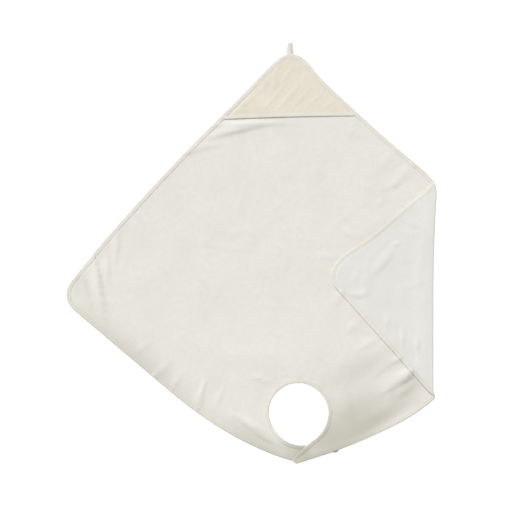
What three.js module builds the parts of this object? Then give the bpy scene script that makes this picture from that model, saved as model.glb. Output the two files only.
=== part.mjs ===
// Baby's hooded bath apron, laid flat with its front up. Millimetres, +Z up, hood towards +Y.
//
// The cloth is a square that stands on one corner. The top corner carries the hood, the neck ring is
// cut into the bottom corner, and the right corner is folded over to the front. The shape is worked
// out on the opened-out cloth, in the plane, and place() then folds it and lifts it into creases.
// The two straps are solids of their own, a gap from the body a little below the hole's top, though
// they are cut in one with it.

import * as THREE from 'three';
import { mergeVertices } from 'three/addons/utils/BufferGeometryUtils.js';

const { degToRad, radToDeg, smoothstep, clamp, lerp } = THREE.MathUtils;
const point = (x, y) => new THREE.Vector2(x, y);

// ---- Driving dimensions ---------------------------------------------------------------------

const GAP = 0.3; // between sewn pieces
const CLOTH = 2.6; // thickness of the panel
const TAPE = 1.0; // thickness of the bias tape
const TAPE_WIDTH = 12; // of the tape seen on each face
const TONGUE = { low: TAPE + GAP, high: CLOTH - GAP }; // the panel's thinned edge, inside the tape
const TONGUE_START = TAPE_WIDTH + GAP;
const TONGUE_END = TAPE + GAP;

const SIDE = { left: 947.7, right: 949 }; // of the square
const TOP = point(107.3, 573.9); // its top corner, before rounding
const HEADING = { left: -132.7, right: -41.25, leftHem: -40.25, rightHem: -132.1 }; // degrees
const CORNER_REACH = { left: 64, right: 63 }; // from a sharp corner, down the hem, to its curve's end

// How each upper side wanders: its `inset` from the straight side, at distances from the top corner.
// The curves of the corners start at its two ends.
const WANDER = {
  left: [
    { along: 71, inset: -1.2 }, { along: 115, inset: -2.9 }, { along: 185, inset: -4.3 },
    { along: 256, inset: -6.9 }, { along: 331, inset: -10.5 }, { along: 401, inset: -12.9 },
    { along: 474, inset: -14.2 }, { along: 546, inset: -15.1 }, { along: 617, inset: -14.7 },
    { along: 690, inset: -13.6 }, { along: 762, inset: -11.2 }, { along: 833, inset: -6.5 },
    { along: 884, inset: -3 },
  ],
  right: [
    { along: 78, inset: 4.5 }, { along: 112, inset: 10 }, { along: 160, inset: 14 },
    { along: 230, inset: 16 }, { along: 310, inset: 18.5 }, { along: 400, inset: 21 },
    { along: 490, inset: 22 }, { along: 570, inset: 20.5 }, { along: 650, inset: 20 },
    { along: 730, inset: 21.5 }, { along: 790, inset: 19.5 }, { along: 840, inset: 12.5 },
  ],
};

const NECK = { centre: point(133.2, -449.7), halfWidth: 83, halfHeight: 87 };
const PARTING = -388; // the level at which the straps' solids are parted from the body's
const NECK_TAPE_SHARE = 0.875; // the neck tape is narrower, because it is stretched round the hole
const NECK_TAPE_EASE = { from: 10, to: 60 }; // from a strap's tip, where it widens to the edge tape

// The straps. Points are taken from the hole's centre and angles are in degrees. `shoulder` draws the
// hem's curve down to `start`, where the strap begins. Its tip is round, and `heading` is the way it
// points. `outerTurn` and `innerTurn` are where the tip's curve leaves the outside edge and the
// neckline, and `turnsTo` is how far round the hole the rows of the cloth keep turning.
const LEFT_STRAP = {
  hemStraight: 407, shoulder: point(-186.7, -79.2), start: point(-20.8, -126.6),
  under: point(-5.3, -130.7), end: point(79.7, -109.5), neckTo: 280.5,
  tip: point(95, -88), radius: 17, heading: 12, outerTurn: -76, innerTurn: 100.5, turnsTo: 190,
};
const RIGHT_STRAP = {
  hemStraight: 495, shoulder: point(309.2, -20.9), start: point(84.5, -104.5),
  neckTo: -8, neckTurn: point(83, -25), neckEnd: point(62.3, -41.7),
  tip: point(-2.5, -120.3), radius: 14, heading: 211, outerTurn: 289.4, innerTurn: 132.4, turnsTo: 120,
};
const TIP_GAP = 0.25; // by which each tape stops short of the middle of a strap's tip
const STRAP_LIFT = 5.5; // of the right strap, over the left one and the two pads
const STRAP_CLIMB = { from: 25, to: -32 }; // degrees round the hole, where the right strap climbs
const STRAP_FADE = { from: 150, to: 240 }; // from the hole's centre, where the lift fades

const FOLD_X = 501.6; // where the right corner's fold starts
const FOLD_RADIUS = 3; // of the cloth's middle
const FOLD_REST = 2; // the same at a distance, where the flap has settled
const FOLD_SETTLE = 60;
const BEND = Math.PI * FOLD_RADIUS; // cloth taken up by the fold
const FOLD_DRIFT = { least: -2.2, most: 9, above: -130, over: 320, from: 300 }; // the fold line's lean
// Where the tape goes round the fold, the cloth is drawn in above and stands out below.
const FOLD_ENDS = [
  { level: 197, shift: -6.5, reach: 34, from: 440 },
  { level: -407, shift: 6, reach: 30, from: 440 },
];

const HOOD = { thickness: 2, leftEnd: 369.5, rightEnd: 379.5, bow: 2, lift: 1.3, fullness: 1.5 };
const HOOD_RISE = 90; // how far back from its edge the hood starts to rise
const HOOD_TAPE = { thickness: 0.8, width: 8, clear: 0.5 };
const LOOP = { width: 15, length: 32, thickness: 1, eye: 1.3, left: 96, skew: 8, taper: 0.75 };
const LOOP_TURNS = 6; // steps round its bend
const PAD = { length: 30, width: 9, thickness: 1, centre: point(46, -98.6), heading: 15 };

// The largest folds: a ridge (or, below zero, a hollow) between two points of the laid-out apron.
const FOLDS = [
  { name: 'pucker below the flap', on: 'body', from: [436, -322], to: [352, -386], height: 10, reach: 30 },
  { name: 'slack beside it', on: 'body', from: [404, -302], to: [318, -362], height: 4, reach: 34 },
  { name: 'left corner crease', on: 'body', from: [-436, 0], to: [-410, -190], height: 5, reach: 32 },
  { name: 'left corner, inner', on: 'body', from: [-396, -20], to: [-392, -72], height: 3, reach: 28 },
  { name: 'below the hood', on: 'body', from: [-95, 326], to: [36, 352], height: 4, reach: 26 },
  { name: 'upper right edge', on: 'body', from: [444, 246], to: [368, 172], height: 5, reach: 30 },
  { name: 'flap, diagonal', on: 'flap', from: [392, 8], to: [334, -64], height: 4, reach: 32 },
  { name: 'flap, lower', on: 'flap', from: [258, -134], to: [345, -124], height: 3.5, reach: 30 },
  { name: 'flap, beside the fold', on: 'flap', from: [434, -236], to: [430, -300], height: 4, reach: 26 },
  { name: 'lower left edge', on: 'body', from: [-278, -352], to: [-224, -312], height: 3.5, reach: 28 },
  { name: 'lower left, next', on: 'body', from: [-184, -408], to: [-140, -362], height: 3.5, reach: 28 },
];

const COLUMNS = { left: 13, right: 9, bend: 4, flap: 7, hood: 14 }; // across a row of the panel
const LEVEL_BANDS = [{ downTo: 20, step: 34 }, { downTo: -180, step: 17 }, { downTo: -350, step: 30 }];
const TIP_LEVELS = { count: 6, step: 13 }; // rows on the top corner's curve
const LEAST_STEP = 5; // between two rows
const ROWS = { quarter: 8, strap: 6, tip: 5 };

const COLOUR = { front: 0xe7e2da, hood: 0xe8e1d4, tape: 0xe4ddd0, pad: 0xe3dccd };

// ---- Paths in the plane ---------------------------------------------------------------------

const range = (count) => Array.from({ length: count }, (_, i) => i);
const toward = (from, heading, reach) =>
  point(from.x + reach * Math.cos(degToRad(heading)), from.y + reach * Math.sin(degToRad(heading)));
const fromNeck = (offset) => NECK.centre.clone().add(offset);
const curve = (a, control, b) => new THREE.QuadraticBezierCurve(a, control, b).getSpacedPoints(40);

// An upper side, as a smooth curve through its wandering points.
function upperSide(hand) {
  const inward = HEADING[hand] + (hand === 'left' ? 90 : -90);
  const points = WANDER[hand].map(({ along, inset }) =>
    toward(toward(TOP, HEADING[hand], along), inward, inset));
  return new THREE.SplineCurve(points).getSpacedPoints(320);
}

// A round corner between two lines, each given by its last point and the one before it.
function corner([a, beforeA], [b, beforeB]) {
  const [alongA, alongB] = [a.clone().sub(beforeA), b.clone().sub(beforeB)];
  const share = b.clone().sub(a).cross(alongB) / alongA.cross(alongB);
  return curve(a, a.clone().addScaledVector(alongA, share), b);
}

// Points of an ellipse round `centre`, between two angles in degrees.
function arc(centre, halfWidth, halfHeight, start, end) {
  return range(61).map((i) => {
    const turn = degToRad(lerp(start, end, i / 60));
    return point(centre.x + halfWidth * Math.cos(turn), centre.y + halfHeight * Math.sin(turn));
  });
}

const neckArc = (start, end) => arc(NECK.centre, NECK.halfWidth, NECK.halfHeight, start, end);
const tipArc = (strap, start) =>
  arc(fromNeck(strap.tip), strap.radius, strap.radius, start, strap.heading);

const UPPER_SIDE = { left: upperSide('left'), right: upperSide('right') };

// The outside edge from the top corner, down the left side, to the tip of the left strap.
function leftOutline() {
  const { shoulder, start, under, end } = LEFT_STRAP;
  return [
    ...topCorner('left'),
    ...sideAndHem('left', LEFT_STRAP.hemStraight),
    ...curve(hemEnd('left', LEFT_STRAP), fromNeck(shoulder), fromNeck(start)),
    ...curve(fromNeck(start), fromNeck(under), fromNeck(end)),
    ...tipArc(LEFT_STRAP, LEFT_STRAP.outerTurn),
  ];
}

// The same down the right side, with the right corner opened out, to the tip of the right strap.
function rightOutline() {
  const { shoulder, start } = RIGHT_STRAP;
  return [
    ...topCorner('right'),
    ...sideAndHem('right', RIGHT_STRAP.hemStraight),
    ...curve(hemEnd('right', RIGHT_STRAP), fromNeck(shoulder), fromNeck(start)),
    ...tipArc(RIGHT_STRAP, RIGHT_STRAP.outerTurn),
  ];
}

// A point of a hem, at a distance from the sharp corner where it meets its upper side.
const onHem = (hand, reach) =>
  toward(toward(TOP, HEADING[hand], SIDE[hand]), HEADING[`${hand}Hem`], reach);
const hemEnd = (hand, strap) => onHem(hand, strap.hemStraight);

// An upper side, its round lower corner and the straight part of the hem.
function sideAndHem(hand, straight) {
  const side = UPPER_SIDE[hand];
  const start = onHem(hand, CORNER_REACH[hand]);
  const end = onHem(hand, straight);
  return [
    ...side,
    ...corner(lastTwo(side), [start, end]),
    ...range(161).map((i) => start.clone().lerp(end, i / 160)),
  ];
}

const lastTwo = (points) => [points[points.length - 1], points[points.length - 2]];

// Half of the top corner's curve, from its highest point to where the side starts.
function topCorner(hand) {
  const { left, right } = UPPER_SIDE;
  const whole = corner([left[0], left[1]], [right[0], right[1]]);
  const highest = whole.reduce((best, p, i) => (p.y > whole[best].y ? i : best), 0);
  return hand === 'left' ? whole.slice(0, highest + 1).reverse() : whole.slice(highest);
}

// The neck hole's edge, from its highest point to each strap's tip.
function leftNeckline() {
  return [...neckArc(90, LEFT_STRAP.neckTo), ...tipArc(LEFT_STRAP, LEFT_STRAP.innerTurn)];
}

function rightNeckline() {
  const round = neckArc(90, RIGHT_STRAP.neckTo);
  const [turn, end] = [RIGHT_STRAP.neckTurn, RIGHT_STRAP.neckEnd].map(fromNeck);
  return [
    ...round,
    ...curve(round[round.length - 1], turn, end),
    ...tipArc(RIGHT_STRAP, RIGHT_STRAP.innerTurn),
  ];
}

// ---- Stations: a point of an edge, and the way from it into the cloth -----------------------

// Near the fold, the way in runs along the fold, so that the tape bends cleanly round it.
function wayIn(base, normal) {
  const alongFold = point(0, Math.sign(normal.y) || 1);
  const share = 1 - smoothstep(Math.abs(base.x - FOLD_X - BEND / 2), BEND, 40);
  const way = normal.clone().lerp(alongFold, share);
  return way.divideScalar(way.dot(normal));
}

// An edge as a list of stations, each with its distance from the start. `turn` is +90 or -90
// degrees, from the edge's direction to the cloth, and `ends` are the ways in at its two ends.
function edgePath(points, turn, ends, width) {
  const kept = points.filter((p, i) => i === 0 || p.distanceTo(points[i - 1]) > 0.05);
  const last = kept.length - 1;
  const lengths = [0];
  for (let i = 1; i <= last; i++) lengths.push(lengths[i - 1] + kept[i].distanceTo(kept[i - 1]));
  return kept.map((base, i) => {
    const along = kept[Math.min(i + 1, last)].clone().sub(kept[Math.max(i - 1, 0)]).normalize();
    const normal = along.rotateAround(point(0, 0), degToRad(turn));
    const way = i === 0 ? ends[0].clone() : i === last ? ends[1].clone() : wayIn(base, normal);
    return { base, rib: way.multiplyScalar(width(lengths[last] - lengths[i])), length: lengths[i] };
  });
}

const fullWidth = () => 1;
const neckWidth = (toTip) =>
  lerp(1, NECK_TAPE_SHARE, smoothstep(toTip, NECK_TAPE_EASE.from, NECK_TAPE_EASE.to));
const DOWN = point(0, -1);
const UP = point(0, 1);
const backFrom = (strap) => toward(point(0, 0), strap.heading + 180, 1);

const EDGES = {
  left: {
    outer: edgePath(leftOutline(), 90, [DOWN, backFrom(LEFT_STRAP)], fullWidth),
    neck: edgePath(leftNeckline(), -90, [UP, backFrom(LEFT_STRAP)], neckWidth),
  },
  right: {
    outer: edgePath(rightOutline(), -90, [DOWN, backFrom(RIGHT_STRAP)], fullWidth),
    neck: edgePath(rightNeckline(), 90, [UP, backFrom(RIGHT_STRAP)], neckWidth),
  },
};

const inside = (station, depth) => station.base.clone().addScaledVector(station.rib, depth);
const innerLevel = (station) => inside(station, TONGUE_START).y;
const innerX = (station) => inside(station, TONGUE_START).x;
const endLength = (path) => path[path.length - 1].length;

// The first station beyond `after` where `measure` passes `value`.
function find(path, measure, value, after = 0) {
  for (let i = 1; i < path.length; i++) {
    const low = measure(path[i - 1]) - value;
    const high = measure(path[i]) - value;
    if (path[i].length > after && low * high <= 0 && low !== high) {
      return between(path[i - 1], path[i], low / (low - high));
    }
  }
  throw new Error(`no station at ${value}`);
}

function between(a, b, share) {
  return {
    base: a.base.clone().lerp(b.base, share),
    rib: a.rib.clone().lerp(b.rib, share),
    length: lerp(a.length, b.length, share),
  };
}

function atLength(path, length) {
  if (length >= endLength(path)) return path[path.length - 1];
  return find(path, (station) => station.length, length);
}

// ---- Rows of the panel ----------------------------------------------------------------------

const NECK_TOP = innerLevel(EDGES.left.neck[0]);
const PANEL_TOP = innerLevel(EDGES.left.outer[0]);

// Levels at which the outside edge enters and leaves the fold, one for each column of the bend.
function foldLevels() {
  const { outer } = EDGES.right;
  const farthest = outer.reduce((best, s) => (s.base.x > best.base.x ? s : best), outer[0]);
  return range(COLUMNS.bend + 1).flatMap((i) => {
    const x = FOLD_X + (BEND * i) / COLUMNS.bend;
    return [find(outer, innerX, x), find(outer, innerX, x, farthest.length)].map(innerLevel);
  });
}

function tipLevels() {
  return range(TIP_LEVELS.count).slice(1).map((i) =>
    innerLevel(atLength(EDGES.left.outer, i * TIP_LEVELS.step)));
}

function bandLevels() {
  const levels = [];
  let level = innerLevel(atLength(EDGES.left.outer, TIP_LEVELS.count * TIP_LEVELS.step));
  for (const band of LEVEL_BANDS) {
    for (; level > band.downTo; level -= band.step) levels.push(level);
  }
  return levels;
}

function neckLevels() {
  const height = NECK_TOP - NECK.centre.y;
  return range(ROWS.quarter).map((i) =>
    NECK.centre.y + height * Math.cos(degToRad((90 * i) / ROWS.quarter))).slice(1);
}

// All levels from the top corner to the middle of the neck hole, from high to low.
function rowLevels() {
  const parted = [PARTING, PARTING - GAP];
  const fixed = [NECK_TOP, HOOD.leftEnd, HOOD.rightEnd, NECK.centre.y, ...parted, ...foldLevels()];
  const loose = [...tipLevels(), ...bandLevels(), ...neckLevels()]
    .filter((y) => fixed.every((other) => Math.abs(y - other) > LEAST_STEP));
  return [...fixed, ...loose].sort((a, b) => b - a);
}

const LEVELS = rowLevels();

// A station's angle round the neck hole, in degrees from straight up, growing down its own side.
const neckAngle = (hand) => (station) => {
  const away = inside(station, TONGUE_START).sub(NECK.centre);
  const turn = radToDeg(Math.atan2(away.y, away.x)) - 90;
  return ((hand === 'left' ? turn : -turn) + 360) % 360;
};

// Rows of one half of the cloth: from its spine, or from the neck hole, to the outside edge.
function halfRows(hand, strap) {
  const { outer, neck } = EDGES[hand];
  const [spineTop, spineFoot] = [outer[0], neck[0]].map((s) => inside(s, TONGUE_START));
  const rows = [{ hand, outer: outer[0], middle: spineTop }];
  for (const level of LEVELS) {
    const ofStrap = level < PARTING;
    const station = find(outer, innerLevel, level);
    if (level > NECK_TOP) {
      const share = (PANEL_TOP - level) / (PANEL_TOP - NECK_TOP);
      rows.push({ hand, outer: station, middle: spineTop.clone().lerp(spineFoot, share) });
    } else {
      const inner = level === NECK_TOP ? neck[0] : find(neck, innerLevel, level);
      rows.push({ hand, outer: station, inner, middle: inside(inner, TONGUE_START), ofStrap });
    }
  }
  return [...rows, ...strapRows(hand, strap, rows[rows.length - 1])];
}

// Rows of a strap below the hole's middle: round the lower half of the hole, then along the strap,
// then round its tip.
function strapRows(hand, strap, start) {
  const measure = neckAngle(hand);
  const tip = (strap.radius * Math.PI) / 2;
  const [outer, inner] = ['outer', 'neck'].map((name, k) => {
    const path = EDGES[hand][name];
    const from = [start.outer, start.inner][k].length;
    const turning = range(ROWS.quarter).map((i) =>
      find(path, measure, lerp(90, strap.turnsTo, (i + 1) / ROWS.quarter), from));
    const tipStart = endLength(path) - tip;
    const turned = turning[turning.length - 1].length;
    const along = [...spread(turned, tipStart, ROWS.strap), ...spread(tipStart, endLength(path), ROWS.tip)];
    return [...turning, ...along.map((length) => atLength(path, length))];
  });
  return outer.map((station, i) => ({
    hand, outer: station, inner: inner[i], middle: inside(inner[i], TONGUE_START), ofStrap: true,
  }));
}

// `count` even steps from one value to another, without the first value.
const spread = (from, to, count) => range(count).map((i) => lerp(from, to, (i + 1) / count));

const HALVES = { left: halfRows('left', LEFT_STRAP), right: halfRows('right', RIGHT_STRAP) };

// Points across a row, from its middle to the tape's inner edge. On the right they keep to the
// fold's columns, and those beyond the edge of a short row fall together on its end.
function across(row) {
  const edge = inside(row.outer, TONGUE_START);
  const { middle } = row;
  if (row.hand === 'left') {
    return range(COLUMNS.left + 1).map((i) => middle.clone().lerp(edge, i / COLUMNS.left));
  }
  const folded = edge.x > FOLD_X;
  const shareAt = (x) => (folded ? (Math.min(x, edge.x) - middle.x) / (edge.x - middle.x) : 1);
  const flatShare = shareAt(FOLD_X);
  const flapShare = shareAt(FOLD_X + BEND);
  const shares = [
    0,
    ...spread(0, flatShare, COLUMNS.right),
    ...range(COLUMNS.bend).map((i) => shareAt(FOLD_X + (BEND * (i + 1)) / COLUMNS.bend)),
    ...spread(flapShare, 1, COLUMNS.flap),
  ];
  return shares.map((share) => middle.clone().lerp(edge, share));
}

// ---- From the plane to the laid-out apron ---------------------------------------------------

// Height of a fold's ridge at a place, rounded over and ending at `reach` from its line.
function ridge(fold, place) {
  const line = new THREE.Line3(
    new THREE.Vector3(fold.from[0], fold.from[1], 0), new THREE.Vector3(fold.to[0], fold.to[1], 0));
  const from = line.closestPointToPoint(place, true, new THREE.Vector3()).distanceTo(place);
  return fold.height * (1 - clamp(from / fold.reach, 0, 1) ** 2) ** 2;
}

function creases(x, y, layer) {
  const place = new THREE.Vector3(x, y, 0);
  return FOLDS.filter((fold) => fold.on === 'body' || layer === 'flap')
    .reduce((sum, fold) => sum + ridge(fold, place), 0);
}

// The right strap climbs over the left one as it comes round the hole.
function strapLift(x, y) {
  const away = point(x, y).sub(NECK.centre);
  const turn = radToDeg(Math.atan2(away.y, away.x));
  const climbed = 1 - smoothstep(turn, STRAP_CLIMB.to, STRAP_CLIMB.from);
  return STRAP_LIFT * climbed * (1 - smoothstep(away.length(), STRAP_FADE.from, STRAP_FADE.to));
}

// How far the cloth near the fold shifts sideways: the fold line leans out as it rises, and its
// upper end is drawn in to a round corner.
function foldDrift(x, y) {
  const { least, most, above, over, from } = FOLD_DRIFT;
  const rise = clamp((y - above) / over, 0, 1);
  const lean = (least + (most - least) * rise ** 2) * smoothstep(x, from, FOLD_X);
  const near = (end) => 1 - clamp(Math.abs(y - end.level) / end.reach, 0, 1) ** 2;
  const ends = FOLD_ENDS.map((end) => end.shift * near(end) ** 2 * smoothstep(x, end.from, FOLD_X));
  return lean + ends[0] + ends[1];
}

// A point of the opened-out cloth, at height n over its reverse side, on the laid-out apron.
function place(p, n, hand) {
  const past = p.x - FOLD_X;
  const laid = new THREE.Vector3(p.x, p.y, n);
  if (past > BEND) {
    const settled = 2 * (FOLD_RADIUS - FOLD_REST) * smoothstep(past - BEND, 0, FOLD_SETTLE);
    laid.set(FOLD_X - (past - BEND), p.y, 2 * FOLD_RADIUS + CLOTH - n - settled);
  } else if (past > 0) {
    const reach = FOLD_RADIUS + CLOTH / 2 - n;
    const turn = past / FOLD_RADIUS;
    laid.set(FOLD_X + reach * Math.sin(turn), p.y, CLOTH / 2 + FOLD_RADIUS - reach * Math.cos(turn));
  }
  laid.z += creases(laid.x, laid.y, past > BEND ? 'flap' : 'body');
  laid.z += hand === 'right' ? strapLift(laid.x, laid.y) : 0;
  laid.x += foldDrift(laid.x, laid.y);
  laid.opened = new THREE.Vector3(p.x, p.y, n);
  return laid;
}

// ---- Solids ---------------------------------------------------------------------------------

const TRIANGLE = 3;
const SPLIT_HEADING = new THREE.Vector3(0.9, 0.4, 0.3).normalize();

// Two triangles of a quad. It is split along the diagonal nearer to one fixed heading of the
// opened-out cloth, so that the surfaces which lie on each other are split alike.
function splitQuad(quad) {
  const [a, b, c, d] = quad;
  const slant = (p, q) => q.opened.clone().sub(p.opened).normalize().cross(SPLIT_HEADING).length();
  return a.opened && slant(b, d) < slant(a, c) ? [a, b, d, b, c, d] : [a, b, c, a, c, d];
}

// Faces between two rows of points, turned round for a row that runs the other way.
function strip(rowA, rowB, flipped = false) {
  return range(rowA.length - 1).flatMap((i) => {
    const quad = [rowA[i], rowA[i + 1], rowB[i + 1], rowB[i]];
    return splitQuad(flipped ? quad.reverse() : quad);
  });
}

const loft = (rows, flipped) => rows.slice(1).flatMap((row, i) => strip(rows[i], row, flipped));
const ring = (points) => [...points, points[0]];

// A closed mesh of a list of corners, three to a face, without the faces that have no area.
function solid(name, corners, colour) {
  const loose = new THREE.BufferGeometry();
  loose.setAttribute('position', new THREE.Float32BufferAttribute(corners.flatMap((p) => [...p]), 3));
  const geometry = mergeVertices(loose, 1e-3);
  const index = [...geometry.index.array];
  const faces = range(index.length / TRIANGLE).map((i) => index.slice(i * TRIANGLE, (i + 1) * TRIANGLE));
  geometry.setIndex(faces.filter((face) => new Set(face).size === TRIANGLE).flat());
  geometry.computeVertexNormals();
  const material = new THREE.MeshStandardMaterial({ color: colour, roughness: 0.95, metalness: 0 });
  const mesh = new THREE.Mesh(geometry, material);
  mesh.name = name;
  return mesh;
}

// The panel's section along a row, from its middle over the front, round the edge, to its middle
// below.
function panelSection(row) {
  const { hand } = row;
  const plan = across(row);
  const edge = plan[plan.length - 1];
  const end = inside(row.outer, TONGUE_END);
  return [
    ...plan.map((p) => place(p, CLOTH, hand)),
    place(edge, TONGUE.high, hand),
    place(end, TONGUE.high, hand),
    place(end, TONGUE.low, hand),
    place(edge, TONGUE.low, hand),
    ...plan.map((p) => place(p, 0, hand)).reverse(),
  ];
}

// The same round the neck hole's edge.
function neckSection({ inner, middle, hand }) {
  const end = inside(inner, TONGUE_END);
  const steps = [[middle, CLOTH], [middle, TONGUE.high], [end, TONGUE.high],
    [end, TONGUE.low], [middle, TONGUE.low], [middle, 0]];
  return steps.map(([p, n]) => place(p, n, hand));
}

const fan = (points) => points.slice(2).flatMap((p, i) => [points[0], points[i + 1], p]);

// Closes a panel across a row, where a strap is parted from the body: a fan at each end of the row,
// quads between them, and the ends of the two thinned edges.
function partedEnd(row, flipped) {
  const at = (n) => (p) => place(p, n, row.hand);
  const plan = across(row).filter((p, i, all) => i === 0 || p.distanceTo(all[i - 1]) > 1e-3);
  const last = plan.length - 1;
  const [front, high, low, reverse] = [CLOTH, TONGUE.high, TONGUE.low, 0].map((n) => plan.map(at(n)));
  const [inner, outer] = [row.inner, row.outer].map((station) => {
    const end = inside(station, TONGUE_END);
    return { high: at(TONGUE.high)(end), low: at(TONGUE.low)(end) };
  });
  const faces = [
    [inner.low, low[0], high[0], inner.high],
    [front[1], front[0], high[0], low[0], reverse[0], reverse[1]],
    ...range(last - 2).map((i) => [reverse[i + 1], reverse[i + 2], front[i + 2], front[i + 1]]),
    [front[last - 1], reverse[last - 1], reverse[last], low[last], high[last], front[last]],
    [low[last], outer.low, outer.high, high[last]],
  ];
  return faces.flatMap((face) => fan(flipped ? face.reverse() : face));
}

// Faces of one half's rows, on the panel's two sides and along its outside and neck edges.
function halfFaces(rows, hand) {
  const neckRows = rows.filter((row) => row.inner).map(neckSection);
  return [
    ...loft(rows.map(panelSection), hand === 'right'),
    ...loft(neckRows, hand === 'left'),
  ];
}

function bodyPanel() {
  const corners = Object.entries(HALVES).flatMap(([hand, rows]) => {
    const own = rows.filter((row) => !row.ofStrap);
    return [...halfFaces(own, hand), ...partedEnd(own[own.length - 1], hand === 'left')];
  });
  return solid('body_panel', corners, COLOUR.front);
}

function strap(name, hand) {
  const own = HALVES[hand].filter((row) => row.ofStrap);
  return solid(name, [...halfFaces(own, hand), ...partedEnd(own[0], hand === 'right')], COLOUR.front);
}

// The folded tape's section, as depth from the edge and height over the reverse side.
function tapeSection(width, thickness, low, high) {
  return [
    [0, low - thickness], [width, low - thickness], [width, low], [thickness, low],
    [thickness, high], [width, high], [width, high + thickness], [0, high + thickness],
  ];
}

// Three quads that close the end of a folded tape.
function tapeEnd(section, flipped) {
  const [a, b, c, d, e, f, g, h] = section;
  return [[a, b, c, d], [a, d, e, h], [h, e, f, g]].flatMap((quad) => {
    const [p, q, r, s] = flipped ? quad.reverse() : quad;
    return [p, q, r, p, r, s];
  });
}

function tape(name, sections) {
  const corners = [
    ...loft(sections.map(ring)),
    ...tapeEnd(sections[0], true),
    ...tapeEnd(sections[sections.length - 1], false),
  ];
  return solid(name, corners, COLOUR.tape);
}

// Bias tape along one edge of both halves, from tip to tip, its ends a gap apart from the other's.
function edgeTape(name, edge) {
  const section = tapeSection(TAPE_WIDTH, TAPE, TAPE, CLOTH);
  const stations = (hand) => HALVES[hand].filter((row) => row[edge])
    .map((row) => ({ hand, station: shortened(row[edge], HALVES[hand]) }));
  const line = [...stations('left').reverse(), ...stations('right').slice(1)];
  if (edge === 'outer') line.reverse();
  return tape(name, line.map(({ hand, station }) =>
    section.map(([depth, n]) => place(inside(station, depth), n, hand))));
}

// The last station before a strap's tip is drawn back along the edge by half a gap.
function shortened(station, rows) {
  const last = rows[rows.length - 1];
  if (station !== last.outer && station !== last.inner) return station;
  const before = rows[rows.length - 2][station === last.outer ? 'outer' : 'inner'];
  const reach = station.base.distanceTo(before.base);
  return between(station, before, TIP_GAP / reach);
}

// ---- Hood, its tape, the hanging loop and the closure ---------------------------------------

const HOOD_LOW = CLOTH + GAP;

// How far the hood's front edge stands off the panel, fullest over its left third.
function hoodLift(share, back) {
  const fullness = HOOD.fullness * Math.sin(Math.PI * share ** 0.7) ** 2;
  return (HOOD.lift + fullness) * (1 - smoothstep(back, 0, HOOD_RISE));
}

// Rows of plane points, from the top corner to the front edge, with how far back each one lies.
function hoodRows() {
  const last = { left: LEVELS.indexOf(HOOD.leftEnd) + 1, right: LEVELS.indexOf(HOOD.rightEnd) + 1 };
  return range(last.left + 1).map((i) => {
    const ends = [HALVES.left[i], HALVES.right[Math.min(i, last.right)]]
      .map((row) => inside(row.outer, TONGUE_START));
    return range(COLUMNS.hood + 1).map((j) => hoodPoint(ends, j / COLUMNS.hood, i / last.left));
  });
}

function hoodPoint([left, right], share, down) {
  const p = left.clone().lerp(right, share);
  const front = lerp(HOOD.leftEnd, HOOD.rightEnd, share);
  p.y += HOOD.bow * Math.sin(Math.PI * share) * down;
  return { p, share, back: Math.max(p.y - front, 0) };
}

const onHood = ({ p, share, back }, n) => {
  const laid = place(p, n, 'left');
  laid.z += hoodLift(share, back);
  return laid;
};

function hood() {
  const sections = hoodRows().map((row) => ring([
    ...row.map((spot) => onHood(spot, HOOD_LOW)),
    ...row.map((spot) => onHood(spot, HOOD_LOW + HOOD.thickness)).reverse(),
  ]));
  const front = sections[sections.length - 1];
  const half = COLUMNS.hood + 1;
  const end = strip(front.slice(0, half), front.slice(half, 2 * half).reverse());
  return solid('hood', [...loft(sections), ...end], COLOUR.hood);
}

function hoodTape() {
  const { width, thickness, clear } = HOOD_TAPE;
  const section = tapeSection(width, thickness, HOOD_LOW - clear, HOOD_LOW + HOOD.thickness + clear);
  const rows = hoodRows();
  const front = rows[rows.length - 1];
  const [left, right] = [HEADING.left, HEADING.right].map((heading) => 1 / Math.tan(degToRad(heading)));
  return tape('hood_binding', front.map(({ p, share }) => {
    const rib = point(lerp(left, right, share), 1);
    const base = p.clone().addScaledVector(UP, -thickness - clear);
    return section.map(([depth, n]) => {
      const spot = base.clone().addScaledVector(rib, depth);
      return onHood({ p: spot, share, back: Math.max(depth - thickness - clear, 0) }, n);
    });
  }));
}

// A tape bent back on itself: it runs out under, turns over and comes back a little to the left.
function hangingLoop() {
  const start = EDGES.left.outer[0].base.y + GAP;
  const radius = (LOOP.eye + LOOP.thickness) / 2;
  const turns = range(LOOP_TURNS + 1).map((i) => (Math.PI * i) / LOOP_TURNS);
  const straight = LOOP.length - radius - LOOP.thickness / 2;
  const shares = [0, 0.5];
  const strand = (turn) => shares.map((share) => ({ y: start + share * straight, turn, reach: share }));
  const bend = turns.map((turn) => ({ y: start + straight, turn, reach: 1 }));
  const line = [...strand(0), ...bend, ...strand(Math.PI).reverse()];
  return solid('hanging_loop', closedLoft(line.map((step, i) =>
    loopSection(step, i / (line.length - 1), radius))), COLOUR.tape);
}

function loopSection({ y, turn, reach }, share, radius) {
  const width = LOOP.width * lerp(1, LOOP.taper, reach);
  const centre = LOOP.left + LOOP.width / 2 + LOOP.skew * (1 - share);
  const half = LOOP.thickness / 2;
  const middle = half + radius;
  return [[-1, -1], [1, -1], [1, 1], [-1, 1]].map(([side, face]) => {
    const arm = radius + face * half;
    return new THREE.Vector3(
      centre + (side * width) / 2, y + arm * Math.sin(turn), middle - arm * Math.cos(turn));
  });
}

// A loft of four-cornered sections with both ends closed.
function closedLoft(sections) {
  const [a, b, c, d] = sections[0];
  const [e, f, g, h] = sections[sections.length - 1];
  return [...loft(sections.map(ring)), a, d, c, a, c, b, e, f, g, e, g, h];
}

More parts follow.
